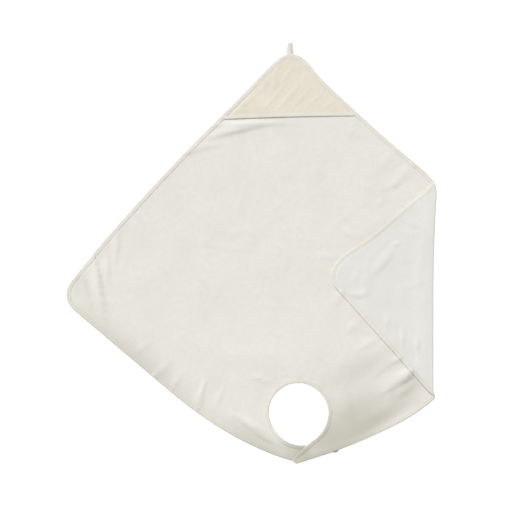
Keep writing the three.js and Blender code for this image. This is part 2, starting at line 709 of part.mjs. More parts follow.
// A flat pad with round corners, between the two straps.
function pad(name, low) {
  const { length, width, thickness } = PAD;
  const shape = new THREE.Shape();
  const reach = (length - width) / 2;
  shape.absarc(reach, 0, width / 2, -Math.PI / 2, Math.PI / 2);
  shape.absarc(-reach, 0, width / 2, Math.PI / 2, Math.PI * 1.5);
  const extrusion = { depth: thickness, bevelEnabled: false, curveSegments: 6 };
  const geometry = new THREE.ExtrudeGeometry(shape, extrusion);
  const material = new THREE.MeshStandardMaterial({ color: COLOUR.pad, roughness: 0.9, metalness: 0 });
  const mesh = new THREE.Mesh(geometry, material);
  mesh.name = name;
  mesh.rotation.z = degToRad(PAD.heading);
  mesh.position.set(NECK.centre.x + PAD.centre.x, NECK.centre.y + PAD.centre.y, low);
  return mesh;
}

const apron = new THREE.Group();
apron.add(
  bodyPanel(),
  strap('left_strap', 'left'),
  strap('right_strap', 'right'),
  edgeTape('edge_binding', 'outer'),
  edgeTape('neck_binding', 'inner'),
  hood(),
  hoodTape(),
  hangingLoop(),
  pad('loop_pad', CLOTH + GAP),
  pad('hook_pad', STRAP_LIFT - GAP - PAD.thickness),
);

export default apron;
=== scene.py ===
"""Baby's hooded bath apron, laid flat with its front up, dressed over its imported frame.

The shape is worked out in millimetres on the opened-out cloth, in the plane: X to the folded
corner, Y to the hood. Laying turns that plane into the laid-out apron, with its folded corner, its
overlapping straps and its creases, and every mesh is written in metres.
"""

import logging
import math
from collections.abc import Iterable
from dataclasses import dataclass, field
from enum import Enum

import bpy
import numpy as np
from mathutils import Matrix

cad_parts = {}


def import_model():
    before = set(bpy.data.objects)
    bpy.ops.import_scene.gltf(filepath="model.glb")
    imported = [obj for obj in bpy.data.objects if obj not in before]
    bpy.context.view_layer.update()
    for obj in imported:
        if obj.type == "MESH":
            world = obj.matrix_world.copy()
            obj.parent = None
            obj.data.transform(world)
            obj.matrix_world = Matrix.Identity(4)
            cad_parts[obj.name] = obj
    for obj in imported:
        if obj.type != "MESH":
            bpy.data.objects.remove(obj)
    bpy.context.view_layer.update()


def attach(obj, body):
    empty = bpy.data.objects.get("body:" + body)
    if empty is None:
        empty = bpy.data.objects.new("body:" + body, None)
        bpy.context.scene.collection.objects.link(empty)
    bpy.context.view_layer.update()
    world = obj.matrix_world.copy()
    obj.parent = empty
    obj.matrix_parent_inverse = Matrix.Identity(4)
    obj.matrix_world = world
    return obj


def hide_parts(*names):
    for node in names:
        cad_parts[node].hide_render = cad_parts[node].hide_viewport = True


LOG = logging.getLogger("bath_apron")
MM = 0.001
Point = tuple[float, float]
Box = tuple[float, float, float, float]
Colour = tuple[float, float, float, float]

# ---- Driving dimensions, in millimetres -------------------------------------------------------

CLOTH = 2.6  # thickness of the towelling
NAP = 0.15  # how far the velour stands up from it
GAP = 0.3  # between pieces that are sewn together
TAPE_WIDTH = 12.0  # how far a tape reaches in from the edge
TONGUE_START = TAPE_WIDTH + GAP  # where the towelling thins, to go inside the tape
NECK_TAPE_SHARE = 0.875  # width of the neck's tape, as a share of the outside one's
TIP_SHARE = 0.74  # the same for both tapes at a strap's tip
TOP = (107.3, 573.9)  # where the two upper sides would meet
NECK_CENTRE = np.array([133.2, -449.7])
STRAP_LIFT = 5.5  # how high the right strap climbs, over the left one
FOLD_X = 501.6  # where the cloth starts to turn over
FOLD_RADIUS = 3.0  # of the middle of the cloth, in the fold
FOLD_REST = 2.0  # the same where the folded-over corner has settled
BEND = math.pi * FOLD_RADIUS  # length of the cloth in the fold
BIAS = math.radians(45.0)  # how far threads and pile slant
CUT_EDGE = math.radians(62.0)  # a mesh edge that turns by more than this is left sharp


class Hand(Enum):
    """The two halves of the cloth, either side of the line from the hood to the neck hole."""

    LEFT = "left"
    RIGHT = "right"


@dataclass(frozen=True)
class Flank:
    """One half's sides, in mm and degrees: an upper side, a rounded corner, a hem and a strap.

    The upper side runs at `heading` for `side` mm from the top corner, and wanders: `wander` gives
    distances from that corner and how far inside the straight side it lies there. The hem runs at
    `hem_heading`, straight from `corner_reach` to `hem_straight`, and then curves towards
    `shoulder` and ends at `start`. The strap's round tip has its middle at `tip` and a `radius`,
    points to `tip_heading`, and begins at `outer_turn` on the hem's side and at `inner_turn` on
    the hole's. `turns_to` is how far the rows of faces turn round the hole with it. `neck` gives
    directions from the hole's middle and how far its edge lies there. `shoulder`, `start` and
    `tip` are from the hole's middle too.
    """

    heading: float
    side: float
    wander: tuple[Point, ...]
    hem_heading: float
    corner_reach: float
    hem_straight: float
    shoulder: Point
    start: Point
    tip: Point
    radius: float
    tip_heading: float
    outer_turn: float
    inner_turn: float
    turns_to: float
    neck: tuple[Point, ...]


FLANKS = {
    Hand.LEFT: Flank(
        heading=-132.7, side=947.7,
        wander=(
            (71.0, -1.2), (115.0, -2.9), (185.0, -4.3), (256.0, -6.9), (331.0, -10.5),
            (401.0, -12.9), (474.0, -14.2), (546.0, -15.1), (617.0, -14.7), (690.0, -13.6),
            (762.0, -11.2), (833.0, -6.5), (884.0, -3.0),
        ),
        hem_heading=-40.25, corner_reach=64.0, hem_straight=407.0,
        shoulder=(-186.7, -79.2), start=(-20.8, -126.6),
        tip=(97.0, -91.0), radius=13.0, tip_heading=12.0, outer_turn=-76.0, inner_turn=100.5,
        turns_to=190.0,
        neck=(
            (90.0, 88.3), (108.0, 89.6), (126.5, 88.5), (145.5, 87.7), (165.0, 86.4), (185.0, 83.3),
            (205.0, 80.6), (226.5, 80.0), (248.0, 81.2), (266.0, 83.2), (280.0, 85.0),
        ),
    ),
    Hand.RIGHT: Flank(
        heading=-41.25, side=949.0,
        wander=(
            (78.0, 4.5), (112.0, 10.0), (160.0, 14.0), (230.0, 16.0), (310.0, 18.5), (400.0, 21.0),
            (490.0, 22.0), (570.0, 20.5), (650.0, 20.0), (730.0, 21.5), (790.0, 19.5), (840.0, 12.5),
        ),
        hem_heading=-132.1, corner_reach=63.0, hem_straight=495.0,
        shoulder=(309.2, -20.9), start=(84.5, -104.5),
        tip=(-8.6, -123.8), radius=9.8, tip_heading=211.0, outer_turn=290.7, inner_turn=132.5,
        turns_to=120.0,
        neck=(
            (80.0, 87.9), (62.5, 85.5), (44.0, 82.6), (25.0, 81.0), (5.7, 79.8), (-14.3, 77.4),
            (-35.0, 77.0), (-52.0, 77.8), (-67.0, 80.0), (-80.0, 89.0), (-90.0, 101.8),
        ),
    ),
}
# The left strap's lower edge, from the neck hole's middle: its curve's control point and its end.
LEFT_UNDER: Point = (-5.3, -130.7)
LEFT_END: Point = (84.0, -103.3)


# ---- Small functions on whole arrays ----------------------------------------------------------


def smoothstep(value: np.ndarray, low: float, high: float) -> np.ndarray:
    """Gives 0 below low, 1 above high, and 3t² − 2t³ between them."""
    share = np.clip((value - low) / (high - low), 0.0, 1.0)
    return share * share * (3.0 - 2.0 * share)


def blend(start: np.ndarray, end: np.ndarray, share: np.ndarray) -> np.ndarray:
    """Gives the value that lies `share` of the way from start to end."""
    return start + (end - start) * share


def lattice(column: np.ndarray, row: np.ndarray, seed: int) -> np.ndarray:
    """Gives a number from 0 to 1 for each whole place: the fraction left over by a large sine."""
    return np.modf(np.abs(np.sin(column * 127.1 + row * 311.7 + seed * 74.7) * 43758.5453))[0]


def soft_noise(x: np.ndarray, y: np.ndarray, size: float, seed: int) -> np.ndarray:
    """Works out smooth noise on the plane.

    Each square of side `size` blends its four corners' lattice numbers by 3t² − 2t³.

    Args:
        x: First coordinate, in the unit of size.
        y: Second coordinate.
        size: Width of a square, which is about the width of a bump.
        seed: Which noise.

    Returns:
        Values from −1 to 1.
    """
    column, row = np.floor(x / size), np.floor(y / size)
    across = smoothstep(x / size - column, 0.0, 1.0)
    along = smoothstep(y / size - row, 0.0, 1.0)
    low = blend(lattice(column, row, seed), lattice(column + 1, row, seed), across)
    high = blend(lattice(column, row + 1, seed), lattice(column + 1, row + 1, seed), across)
    return 2.0 * blend(low, high, along) - 1.0


def sampled(spots: np.ndarray, reach: np.ndarray, values: np.ndarray) -> np.ndarray:
    """Reads rows of coordinates, which are known at the distances in reach, at some spots."""
    return np.stack([np.interp(spots, reach, column) for column in values.T], axis=-1)


def running_length(points: np.ndarray) -> np.ndarray:
    """Gives each point's distance from the first one, along the line through them all."""
    return np.concatenate([[0.0], np.cumsum(np.linalg.norm(np.diff(points, axis=0), axis=1))])


def toward(start: Point, heading: float, reach: float) -> np.ndarray:
    """Gives the point `reach` away from start at a heading in degrees."""
    turn = math.radians(heading)
    return np.array(start) + reach * np.array([math.cos(turn), math.sin(turn)])


def quadratic(start: np.ndarray, control: np.ndarray, end: np.ndarray) -> np.ndarray:
    """Gives points of a curve, (1−t)²·start + 2t(1−t)·control + t²·end."""
    t = np.linspace(0.0, 1.0, 201)[:, None]
    return (1 - t) ** 2 * start + 2 * t * (1 - t) * np.array(control) + t**2 * end


def spline(knots: np.ndarray) -> np.ndarray:
    """Gives points of a smooth curve through some knots.

    From knot p to knot q it is p + v·t + (3q − 3p − 2v − w)·t² + (2p − 2q + v + w)·t³, where v and
    w are half the steps from the knot before p to q, and from p to the one after q.

    Args:
        knots: Points that it goes through.

    Returns:
        80 points for each step from knot to knot, and the last knot.
    """
    padded = np.concatenate([knots[:1], knots, knots[-1:]])
    t = np.linspace(0.0, 1.0, 80, endpoint=False)[None, :, None]
    p, q = padded[1:-2, None], padded[2:-1, None]
    v, w = (q - padded[:-3, None]) / 2, (padded[3:, None] - p) / 2
    cubic = p + v * t + (3 * q - 3 * p - 2 * v - w) * t**2 + (2 * p - 2 * q + v + w) * t**3
    return np.concatenate([cubic.reshape(-1, 2), knots[-1:]])


def corner(first: np.ndarray, second: np.ndarray) -> np.ndarray:
    """Gives a round corner between two lines, each given by its last point and the one before it.

    Args:
        first: The line that it leaves.
        second: The line that it meets.

    Returns:
        Points of a curve whose control point is where the two lines would cross.
    """
    along = [line[0] - line[1] for line in (first, second)]
    between = second[0] - first[0]
    cross = along[0][0] * along[1][1] - along[0][1] * along[1][0]
    share = (between[0] * along[1][1] - between[1] * along[1][0]) / cross
    return quadratic(first[0], first[0] + along[0] * share, second[0])


def arc(centre: np.ndarray, halves: Point, start: float, end: float) -> np.ndarray:
    """Gives points of an ellipse round centre, between two angles in degrees."""
    turn = np.radians(np.linspace(start, end, 241))
    return centre + np.stack([halves[0] * np.cos(turn), halves[1] * np.sin(turn)], axis=1)


# ---- Edges of the opened-out cloth ------------------------------------------------------------


@dataclass
class Edge:
    """An edge as even stations, each with the way from it into the cloth."""

    base: np.ndarray
    rib: np.ndarray
    length: np.ndarray

    STEP = 1.0
    TIP_REACH = (12.0, 60.0)  # distances from a strap's end between which the tape widens
    FOLD_REACH = 40.0  # how far from the fold the way in starts to follow it

    @classmethod
    def along(cls, points: np.ndarray, turn: float, ends: list[np.ndarray], narrow: bool) -> "Edge":
        """Builds the stations of an outline.

        The way in is the edge's direction turned by a right angle. Near the fold it runs along
        the fold, so that the tape bends cleanly round it, and it keeps a depth of 1 per mm.

        Args:
            points: The outline.
            turn: 1 if the cloth lies to the left of the edge's direction, −1 if to the right.
            ends: Ways in at the first and the last point.
            narrow: True for the neck hole, whose tape is stretched and so a little narrower.
                Every tape is narrower still at a strap's tip.

        Returns:
            The edge, with a station each millimetre.
        """
        steps = np.linalg.norm(np.diff(points, axis=0), axis=1)
        points = points[np.concatenate([[True], steps > 0.01])]
        reach = running_length(points)
        length = np.linspace(0.0, reach[-1], int(reach[-1] / cls.STEP) + 1)
        base = sampled(length, reach, points)
        way = np.gradient(base, axis=0)
        way /= np.linalg.norm(way, axis=1, keepdims=True)
        normal = turn * np.stack([-way[:, 1], way[:, 0]], axis=1)
        along_fold = np.stack([np.zeros(len(base)), np.where(normal[:, 1] < 0, -1.0, 1.0)], axis=1)
        share = 1.0 - smoothstep(np.abs(base[:, 0] - FOLD_X - BEND / 2), BEND, cls.FOLD_REACH)
        rib = blend(normal, along_fold, share[:, None])
        rib /= np.sum(rib * normal, axis=1, keepdims=True)
        rib[0], rib[-1] = ends
        width = NECK_TAPE_SHARE if narrow else 1.0
        rib *= blend(TIP_SHARE, width, smoothstep(length[-1] - length, *cls.TIP_REACH))[:, None]
        return cls(base, rib, length)

    def at(self, lengths: np.ndarray) -> "Edge":
        """Gives the stations at some distances from the edge's start."""
        base, rib = (sampled(lengths, self.length, part) for part in (self.base, self.rib))
        return Edge(base, rib, np.asarray(lengths, float))

    def inside(self, depth: np.ndarray | float) -> np.ndarray:
        """Gives the points that lie `depth` into the cloth from each station."""
        return self.base + self.rib * depth

    def length_at_level(self, levels: np.ndarray, depth: float = TONGUE_START) -> np.ndarray:
        """Gives how far along the edge its inset line comes down to each level."""
        line = np.minimum.accumulate(self.inside(depth)[:, 1])
        return np.interp(-np.asarray(levels), -line, self.length)

    def length_at_turn(self, turns: np.ndarray, hand: Hand, after: float) -> np.ndarray:
        """Gives how far along the edge its inset line reaches each angle round the neck hole.

        Args:
            turns: Degrees from straight up, growing down this half's own side.
            hand: Which half.
            after: The distance from which the angles are looked for.

        Returns:
            Distances from the edge's start.
        """
        away = self.inside(TONGUE_START) - NECK_CENTRE
        turn = np.degrees(np.arctan2(away[:, 1], away[:, 0])) - 90.0
        turn = np.mod(turn if hand is Hand.LEFT else -turn, 360.0)
        late = self.length >= after
        return np.interp(turns, np.maximum.accumulate(turn[late]), self.length[late])


@dataclass
class Plan:
    """The outline of the opened-out cloth and the edges of its neck hole, for both halves."""

    outer: dict[Hand, Edge] = field(default_factory=dict)
    neck: dict[Hand, Edge] = field(default_factory=dict)

    def __post_init__(self) -> None:
        """Works out the four edges."""
        down, up = np.array([0.0, -1.0]), np.array([0.0, 1.0])
        for hand, turn in ((Hand.LEFT, 1.0), (Hand.RIGHT, -1.0)):
            back = toward((0.0, 0.0), FLANKS[hand].tip_heading + 180.0, 1.0)
            self.outer[hand] = Edge.along(self.outline(hand), turn, [down, back], False)
            self.neck[hand] = Edge.along(self.neckline(hand), -turn, [up, back], True)

    @staticmethod
    def upper_side(hand: Hand) -> np.ndarray:
        """Gives an upper side, between the curves of its two corners.

        Args:
            hand: Which half.

        Returns:
            Its points, from the top down.
        """
        flank = FLANKS[hand]
        way = toward((0.0, 0.0), flank.heading, 1.0)
        inward = toward((0.0, 0.0), flank.heading + (90.0 if hand is Hand.LEFT else -90.0), 1.0)
        along, inset = np.array(flank.wander).T[..., None]
        return spline(np.array(TOP) + way * along + inward * inset)

    def top_corner(self, hand: Hand) -> np.ndarray:
        """Gives half of the top corner's curve, from its highest point to where the side starts.

        Args:
            hand: Which half.

        Returns:
            Its points.
        """
        left, right = (self.upper_side(side) for side in Hand)
        whole = corner(left[:2], right[:2])
        highest = int(np.argmax(whole[:, 1]))
        return whole[: highest + 1][::-1] if hand is Hand.LEFT else whole[highest:]

    @staticmethod
    def tip_arc(flank: Flank, start: float) -> np.ndarray:
        """Gives a strap tip's quarter turn, from an angle in degrees to the way it points."""
        centre = NECK_CENTRE + np.array(flank.tip)
        return arc(centre, (flank.radius, flank.radius), start, flank.tip_heading)

    def outline(self, hand: Hand) -> np.ndarray:
        """Gives the outside edge from the top corner, down one side, to the strap's tip.

        Args:
            hand: Which half.

        Returns:
            Its points.
        """
        flank, side = FLANKS[hand], self.upper_side(hand)
        sharp = toward(TOP, flank.heading, flank.side)
        stretch = (flank.corner_reach, flank.hem_straight)
        hem = np.array([toward(sharp, flank.hem_heading, reach) for reach in stretch])
        shoulder, start = NECK_CENTRE + flank.shoulder, NECK_CENTRE + flank.start
        pieces = [
            self.top_corner(hand),
            side,
            corner(side[:-3:-1], hem),
            hem,
            quadratic(hem[1], shoulder, start),
        ]
        if hand is Hand.LEFT:
            pieces.append(quadratic(start, NECK_CENTRE + LEFT_UNDER, NECK_CENTRE + LEFT_END))
        return np.concatenate([*pieces, self.tip_arc(flank, flank.outer_turn)])

    def neckline(self, hand: Hand) -> np.ndarray:
        """Gives the neck hole's edge from its highest point to the strap's tip.

        Args:
            hand: Which half.

        Returns:
            Its points.
        """
        flank = FLANKS[hand]
        turn, reach = np.array([*FLANKS[Hand.LEFT].neck[::-1], *FLANKS[Hand.RIGHT].neck]).T
        way = np.stack([np.cos(np.radians(turn)), np.sin(np.radians(turn))], axis=1)
        whole = spline(NECK_CENTRE + way * reach[:, None])
        highest = int(np.argmax(whole[:, 1]))
        own = whole[: highest + 1][::-1] if hand is Hand.LEFT else whole[highest:]
        return np.concatenate([own, self.tip_arc(flank, flank.inner_turn)])


# ---- Creases ----------------------------------------------------------------------------------


@dataclass(frozen=True)
class Crease:
    """A soft ridge of cloth between two points of the laid-out apron, in mm.

    `left` and `right` are how far it reaches on either side of its line, as seen along it, so
    that one side can be steeper, `bow` is how far its line bends to the left, and `peak` is how
    far along it is highest.
    """

    start: Point
    end: Point
    height: float
    left: float
    right: float
    bow: float = 0.0
    peak: float = 0.5

    OVERRUN = 0.2  # how far it runs on beyond each end, as a share of its length
    NARROWEST = 0.45  # its reach at its ends, as a share of that at its peak

    def raised(self, x: np.ndarray, y: np.ndarray) -> np.ndarray:
        """Works out the ridge's height at some places.

        Across it the height is (1 − d²)², where d is the distance as a share of that side's
        reach. Towards both ends it grows lower and narrower, and it runs out a little beyond them.

        Args:
            x: First coordinates of the places, in mm.
            y: Their second coordinates.

        Returns:
            Heights in mm.
        """
        run = np.array(self.end) - np.array(self.start)
        size = float(np.hypot(*run))
        along, (dx, dy) = run / size, (x - self.start[0], y - self.start[1])
        share = (dx * along[0] + dy * along[1]) / size
        across = dy * along[0] - dx * along[1] - self.bow * 4.0 * share * (1.0 - share)
        rising = smoothstep(share, -self.OVERRUN, self.peak)
        taper = rising * smoothstep(1.0 - share, -self.OVERRUN, 1.0 - self.peak)
        reach = np.where(across > 0.0, self.left, self.right) * blend(self.NARROWEST, 1.0, taper)
        profile = (1.0 - np.clip(np.abs(across) / reach, 0.0, 1.0) ** 2) ** 2
        return self.height * profile * taper


@dataclass(frozen=True)
class Swell:
    """Cloth that never lies quite flat: noise of a height and a width of bump, in mm."""

    height: float
    size: float
    seed: int

    def raised(self, x: np.ndarray, y: np.ndarray) -> np.ndarray:
        """Works out its height at some places, from nothing to twice its own height."""
        return self.height * (1.0 + soft_noise(x, y, self.size, self.seed))


BODY_SWELLS = (Swell(0.55, 96.0, 3), Swell(0.3, 41.0, 5))
FLAP_SWELLS = (Swell(0.4, 70.0, 9), Swell(0.2, 26.0, 13))

# The creases that show most. They lie in the body, and so lift every layer above it. In each row
# of these tables: start, end, height, left and right reach, bow, peak.
BODY_CREASES = (
    Crease((445.0, -330.0), (409.0, -370.0), 6.0, 12.0, 27.0, 2.0, 0.2),
    Crease((424.0, -340.0), (352.0, -396.0), 2.6, 13.0, 32.0, 4.0, 0.2),
    Crease((410.0, -290.0), (316.0, -366.0), 1.6, 15.0, 30.0, -4.0, 0.2),
    Crease((452.0, -356.0), (404.0, -398.0), 2.4, 22.0, 16.0),
    Crease((-436.0, 0.0), (-404.0, -196.0), 4.2, 6.0, 30.0, 3.0, 0.4),
    Crease((-398.0, -8.0), (-394.0, -84.0), 2.2, 7.0, 24.0),
    Crease((-366.0, 72.0), (-374.0, -34.0), 1.8, 7.0, 20.0),
    Crease((-470.0, -60.0), (-446.0, -150.0), 1.4, 9.0, 18.0),
    Crease((-112.0, 318.0), (48.0, 354.0), 3.0, 26.0, 13.0, 5.0),
    Crease((-120.0, 350.0), (116.0, 357.0), 2.0, 17.0, 10.0, 3.0),
    Crease((-196.0, 270.0), (-70.0, 300.0), 1.4, 20.0, 14.0, 6.0),
    Crease((-150.0, 296.0), (28.0, 352.0), 1.0, 30.0, 22.0, 12.0),
    Crease((452.0, 252.0), (362.0, 168.0), 1.6, 14.0, 28.0, 4.0),
    Crease((398.0, 286.0), (340.0, 214.0), 0.9, 12.0, 22.0),
    Crease((412.0, 206.0), (384.0, 172.0), 1.2, 7.0, 14.0),
    Crease((365.0, 146.0), (343.0, 128.0), 1.2, 7.0, 14.0),
    Crease((300.0, 38.0), (244.0, 68.0), 1.1, 12.0, 18.0),
    Crease((248.0, -10.0), (176.0, -2.0), 1.0, 16.0, 12.0, 5.0),
    Crease((258.0, -100.0), (222.0, -156.0), 1.2, 14.0, 18.0),
    Crease((306.0, -182.0), (262.0, -226.0), 1.0, 12.0, 16.0),
    Crease((352.0, -238.0), (292.0, -270.0), 1.3, 12.0, 18.0),
    Crease((414.0, -296.0), (388.0, -308.0), 2.4, 6.0, 14.0, 0.0, 0.2),
    Crease((-286.0, -356.0), (-222.0, -296.0), 1.8, 10.0, 24.0),
    Crease((-226.0, -388.0), (-190.0, -322.0), 1.3, 10.0, 18.0),
    Crease((-148.0, -430.0), (-122.0, -340.0), 2.6, 18.0, 9.0, 0.0, 0.2),
    Crease((-104.0, -438.0), (-76.0, -372.0), 1.2, 14.0, 9.0),
    Crease((-330.0, -286.0), (-282.0, -244.0), 1.2, 10.0, 18.0),
    Crease((-14.0, -452.0), (62.0, -526.0), 3.4, 24.0, 13.0, -10.0),
    Crease((-62.0, -436.0), (28.0, -492.0), 2.0, 20.0, 13.0, -6.0),
    Crease((-6.0, -340.0), (54.0, -366.0), 1.2, 18.0, 16.0, 4.0),
    Crease((238.0, -384.0), (286.0, -472.0), 2.2, 18.0, 40.0, 6.0),
)

# Those of the folded-over corner alone.
FLAP_CREASES = (
    Crease((396.0, 14.0), (330.0, -68.0), 1.9, 13.0, 30.0, 3.0),
    Crease((270.0, -114.0), (326.0, -108.0), 2.0, 20.0, 8.0, -9.0),
    Crease((422.0, -204.0), (420.0, -276.0), 1.7, 9.0, 15.0),
    Crease((462.0, -228.0), (462.0, -282.0), 1.6, 8.0, 16.0),
    Crease((379.0, -176.0), (378.0, -210.0), 1.4, 8.0, 14.0),
    Crease((388.0, 23.0), (412.0, 22.0), 1.5, 10.0, 6.0),
    Crease((417.0, -10.0), (425.0, -36.0), 1.1, 8.0, 10.0),
    Crease((300.0, -36.0), (280.0, -88.0), 1.0, 12.0, 16.0),
    Crease((420.0, 92.0), (470.0, 66.0), 0.9, 16.0, 14.0),
    Crease((470.0, 20.0), (462.0, -110.0), 1.0, 12.0, 18.0, 3.0),
    Crease((400.0, -84.0), (436.0, -122.0), 0.9, 14.0, 12.0),
)


@dataclass(frozen=True)
class PaintedShade(Crease):
    """A stretch of painted shade, standing in for the shading of cloth that slopes away from the light.

    It is given like a crease, with how much darker it is painted in place of its height.
    """


# Painted shade. Most of them lie along the hem, on both straps, and beside the folded-over corner.
PAINTED_SHADES = (
    PaintedShade((440.0, -390.0), (110.0, -596.0), 1.0, 70.0, 130.0, 0.0, 0.6),
    PaintedShade((360.0, -380.0), (190.0, -450.0), 0.2, 70.0, 90.0),
    PaintedShade((484.0, -400.0), (250.0, -516.0), 0.42, 30.0, 34.0),
    PaintedShade((440.0, -262.0), (180.0, -376.0), 0.38, 56.0, 56.0),
    PaintedShade((490.0, 140.0), (230.0, -40.0), 0.2, 24.0, 50.0),
    PaintedShade((-505.0, -40.0), (-440.0, -130.0), 0.25, 40.0, 40.0),
    PaintedShade((-118.0, -444.0), (110.0, -578.0), 0.65, 48.0, 60.0, 0.0, 0.7),
    PaintedShade((80.0, -510.0), (170.0, -584.0), 0.6, 44.0, 44.0),
    PaintedShade((-540.0, -110.0), (-110.0, -458.0), 0.3, 70.0, 60.0),
    PaintedShade((-520.0, -120.0), (-90.0, -470.0), 0.16, 26.0, 40.0),
    PaintedShade((480.0, -300.0), (380.0, -430.0), 0.5, 60.0, 40.0),
)


def scattered(seed: int, count: int, box: Box, lean: float) -> list[Crease]:
    """Makes fine creases strewn over a box, such as washing leaves in towelling.

    They are 50 to 190 mm long, up to half a millimetre high, and most keep near one heading.

    Args:
        seed: Which strewing.
        count: How many.
        box: Lowest x, lowest y, highest x and highest y, in mm.
        lean: The heading that most of them keep to, in degrees.

    Returns:
        Creases of uneven length, height and reach.
    """
    draw = np.random.default_rng(seed)
    spots = draw.uniform(box[:2], box[2:], (count, 2))
    headings = np.radians(draw.normal(lean, 38.0, count))
    lengths, heights = draw.uniform(50.0, 190.0, count), draw.uniform(0.15, 0.55, count)
    reaches, bows = draw.uniform(7.0, 24.0, (count, 2)), draw.normal(0.0, 7.0, count)
    halves = 0.5 * lengths[:, None] * np.stack([np.cos(headings), np.sin(headings)], axis=1)
    return [
        Crease(tuple(spot - half), tuple(spot + half), height, *reach, bow)
        for spot, half, height, reach, bow in zip(spots, halves, heights, reaches, bows)
    ]


def total(forms: Iterable[Crease | Swell], x: np.ndarray, y: np.ndarray) -> np.ndarray:
    """Adds up creases and swells at some places.

    Args:
        forms: The creases and swells.
        x: First coordinates of the places, in mm.
        y: Their second coordinates.

    Returns:
        Heights in mm.
    """
    height = np.zeros(np.broadcast(x, y).shape)
    for form in forms:
        height += form.raised(x, y)
    return height


# ---- Laying the cloth out ---------------------------------------------------------------------


@dataclass(frozen=True)
class FoldEnd:
    """Where the tape goes round the fold: its level, how far the cloth shifts and its reach."""

    level: float
    shift: float
    reach: float


# The cloth is drawn in at the fold's upper end, and stands out at its lower one.
FOLD_ENDS = (FoldEnd(197.0, -6.5, 34.0), FoldEnd(-407.0, 6.0, 30.0))


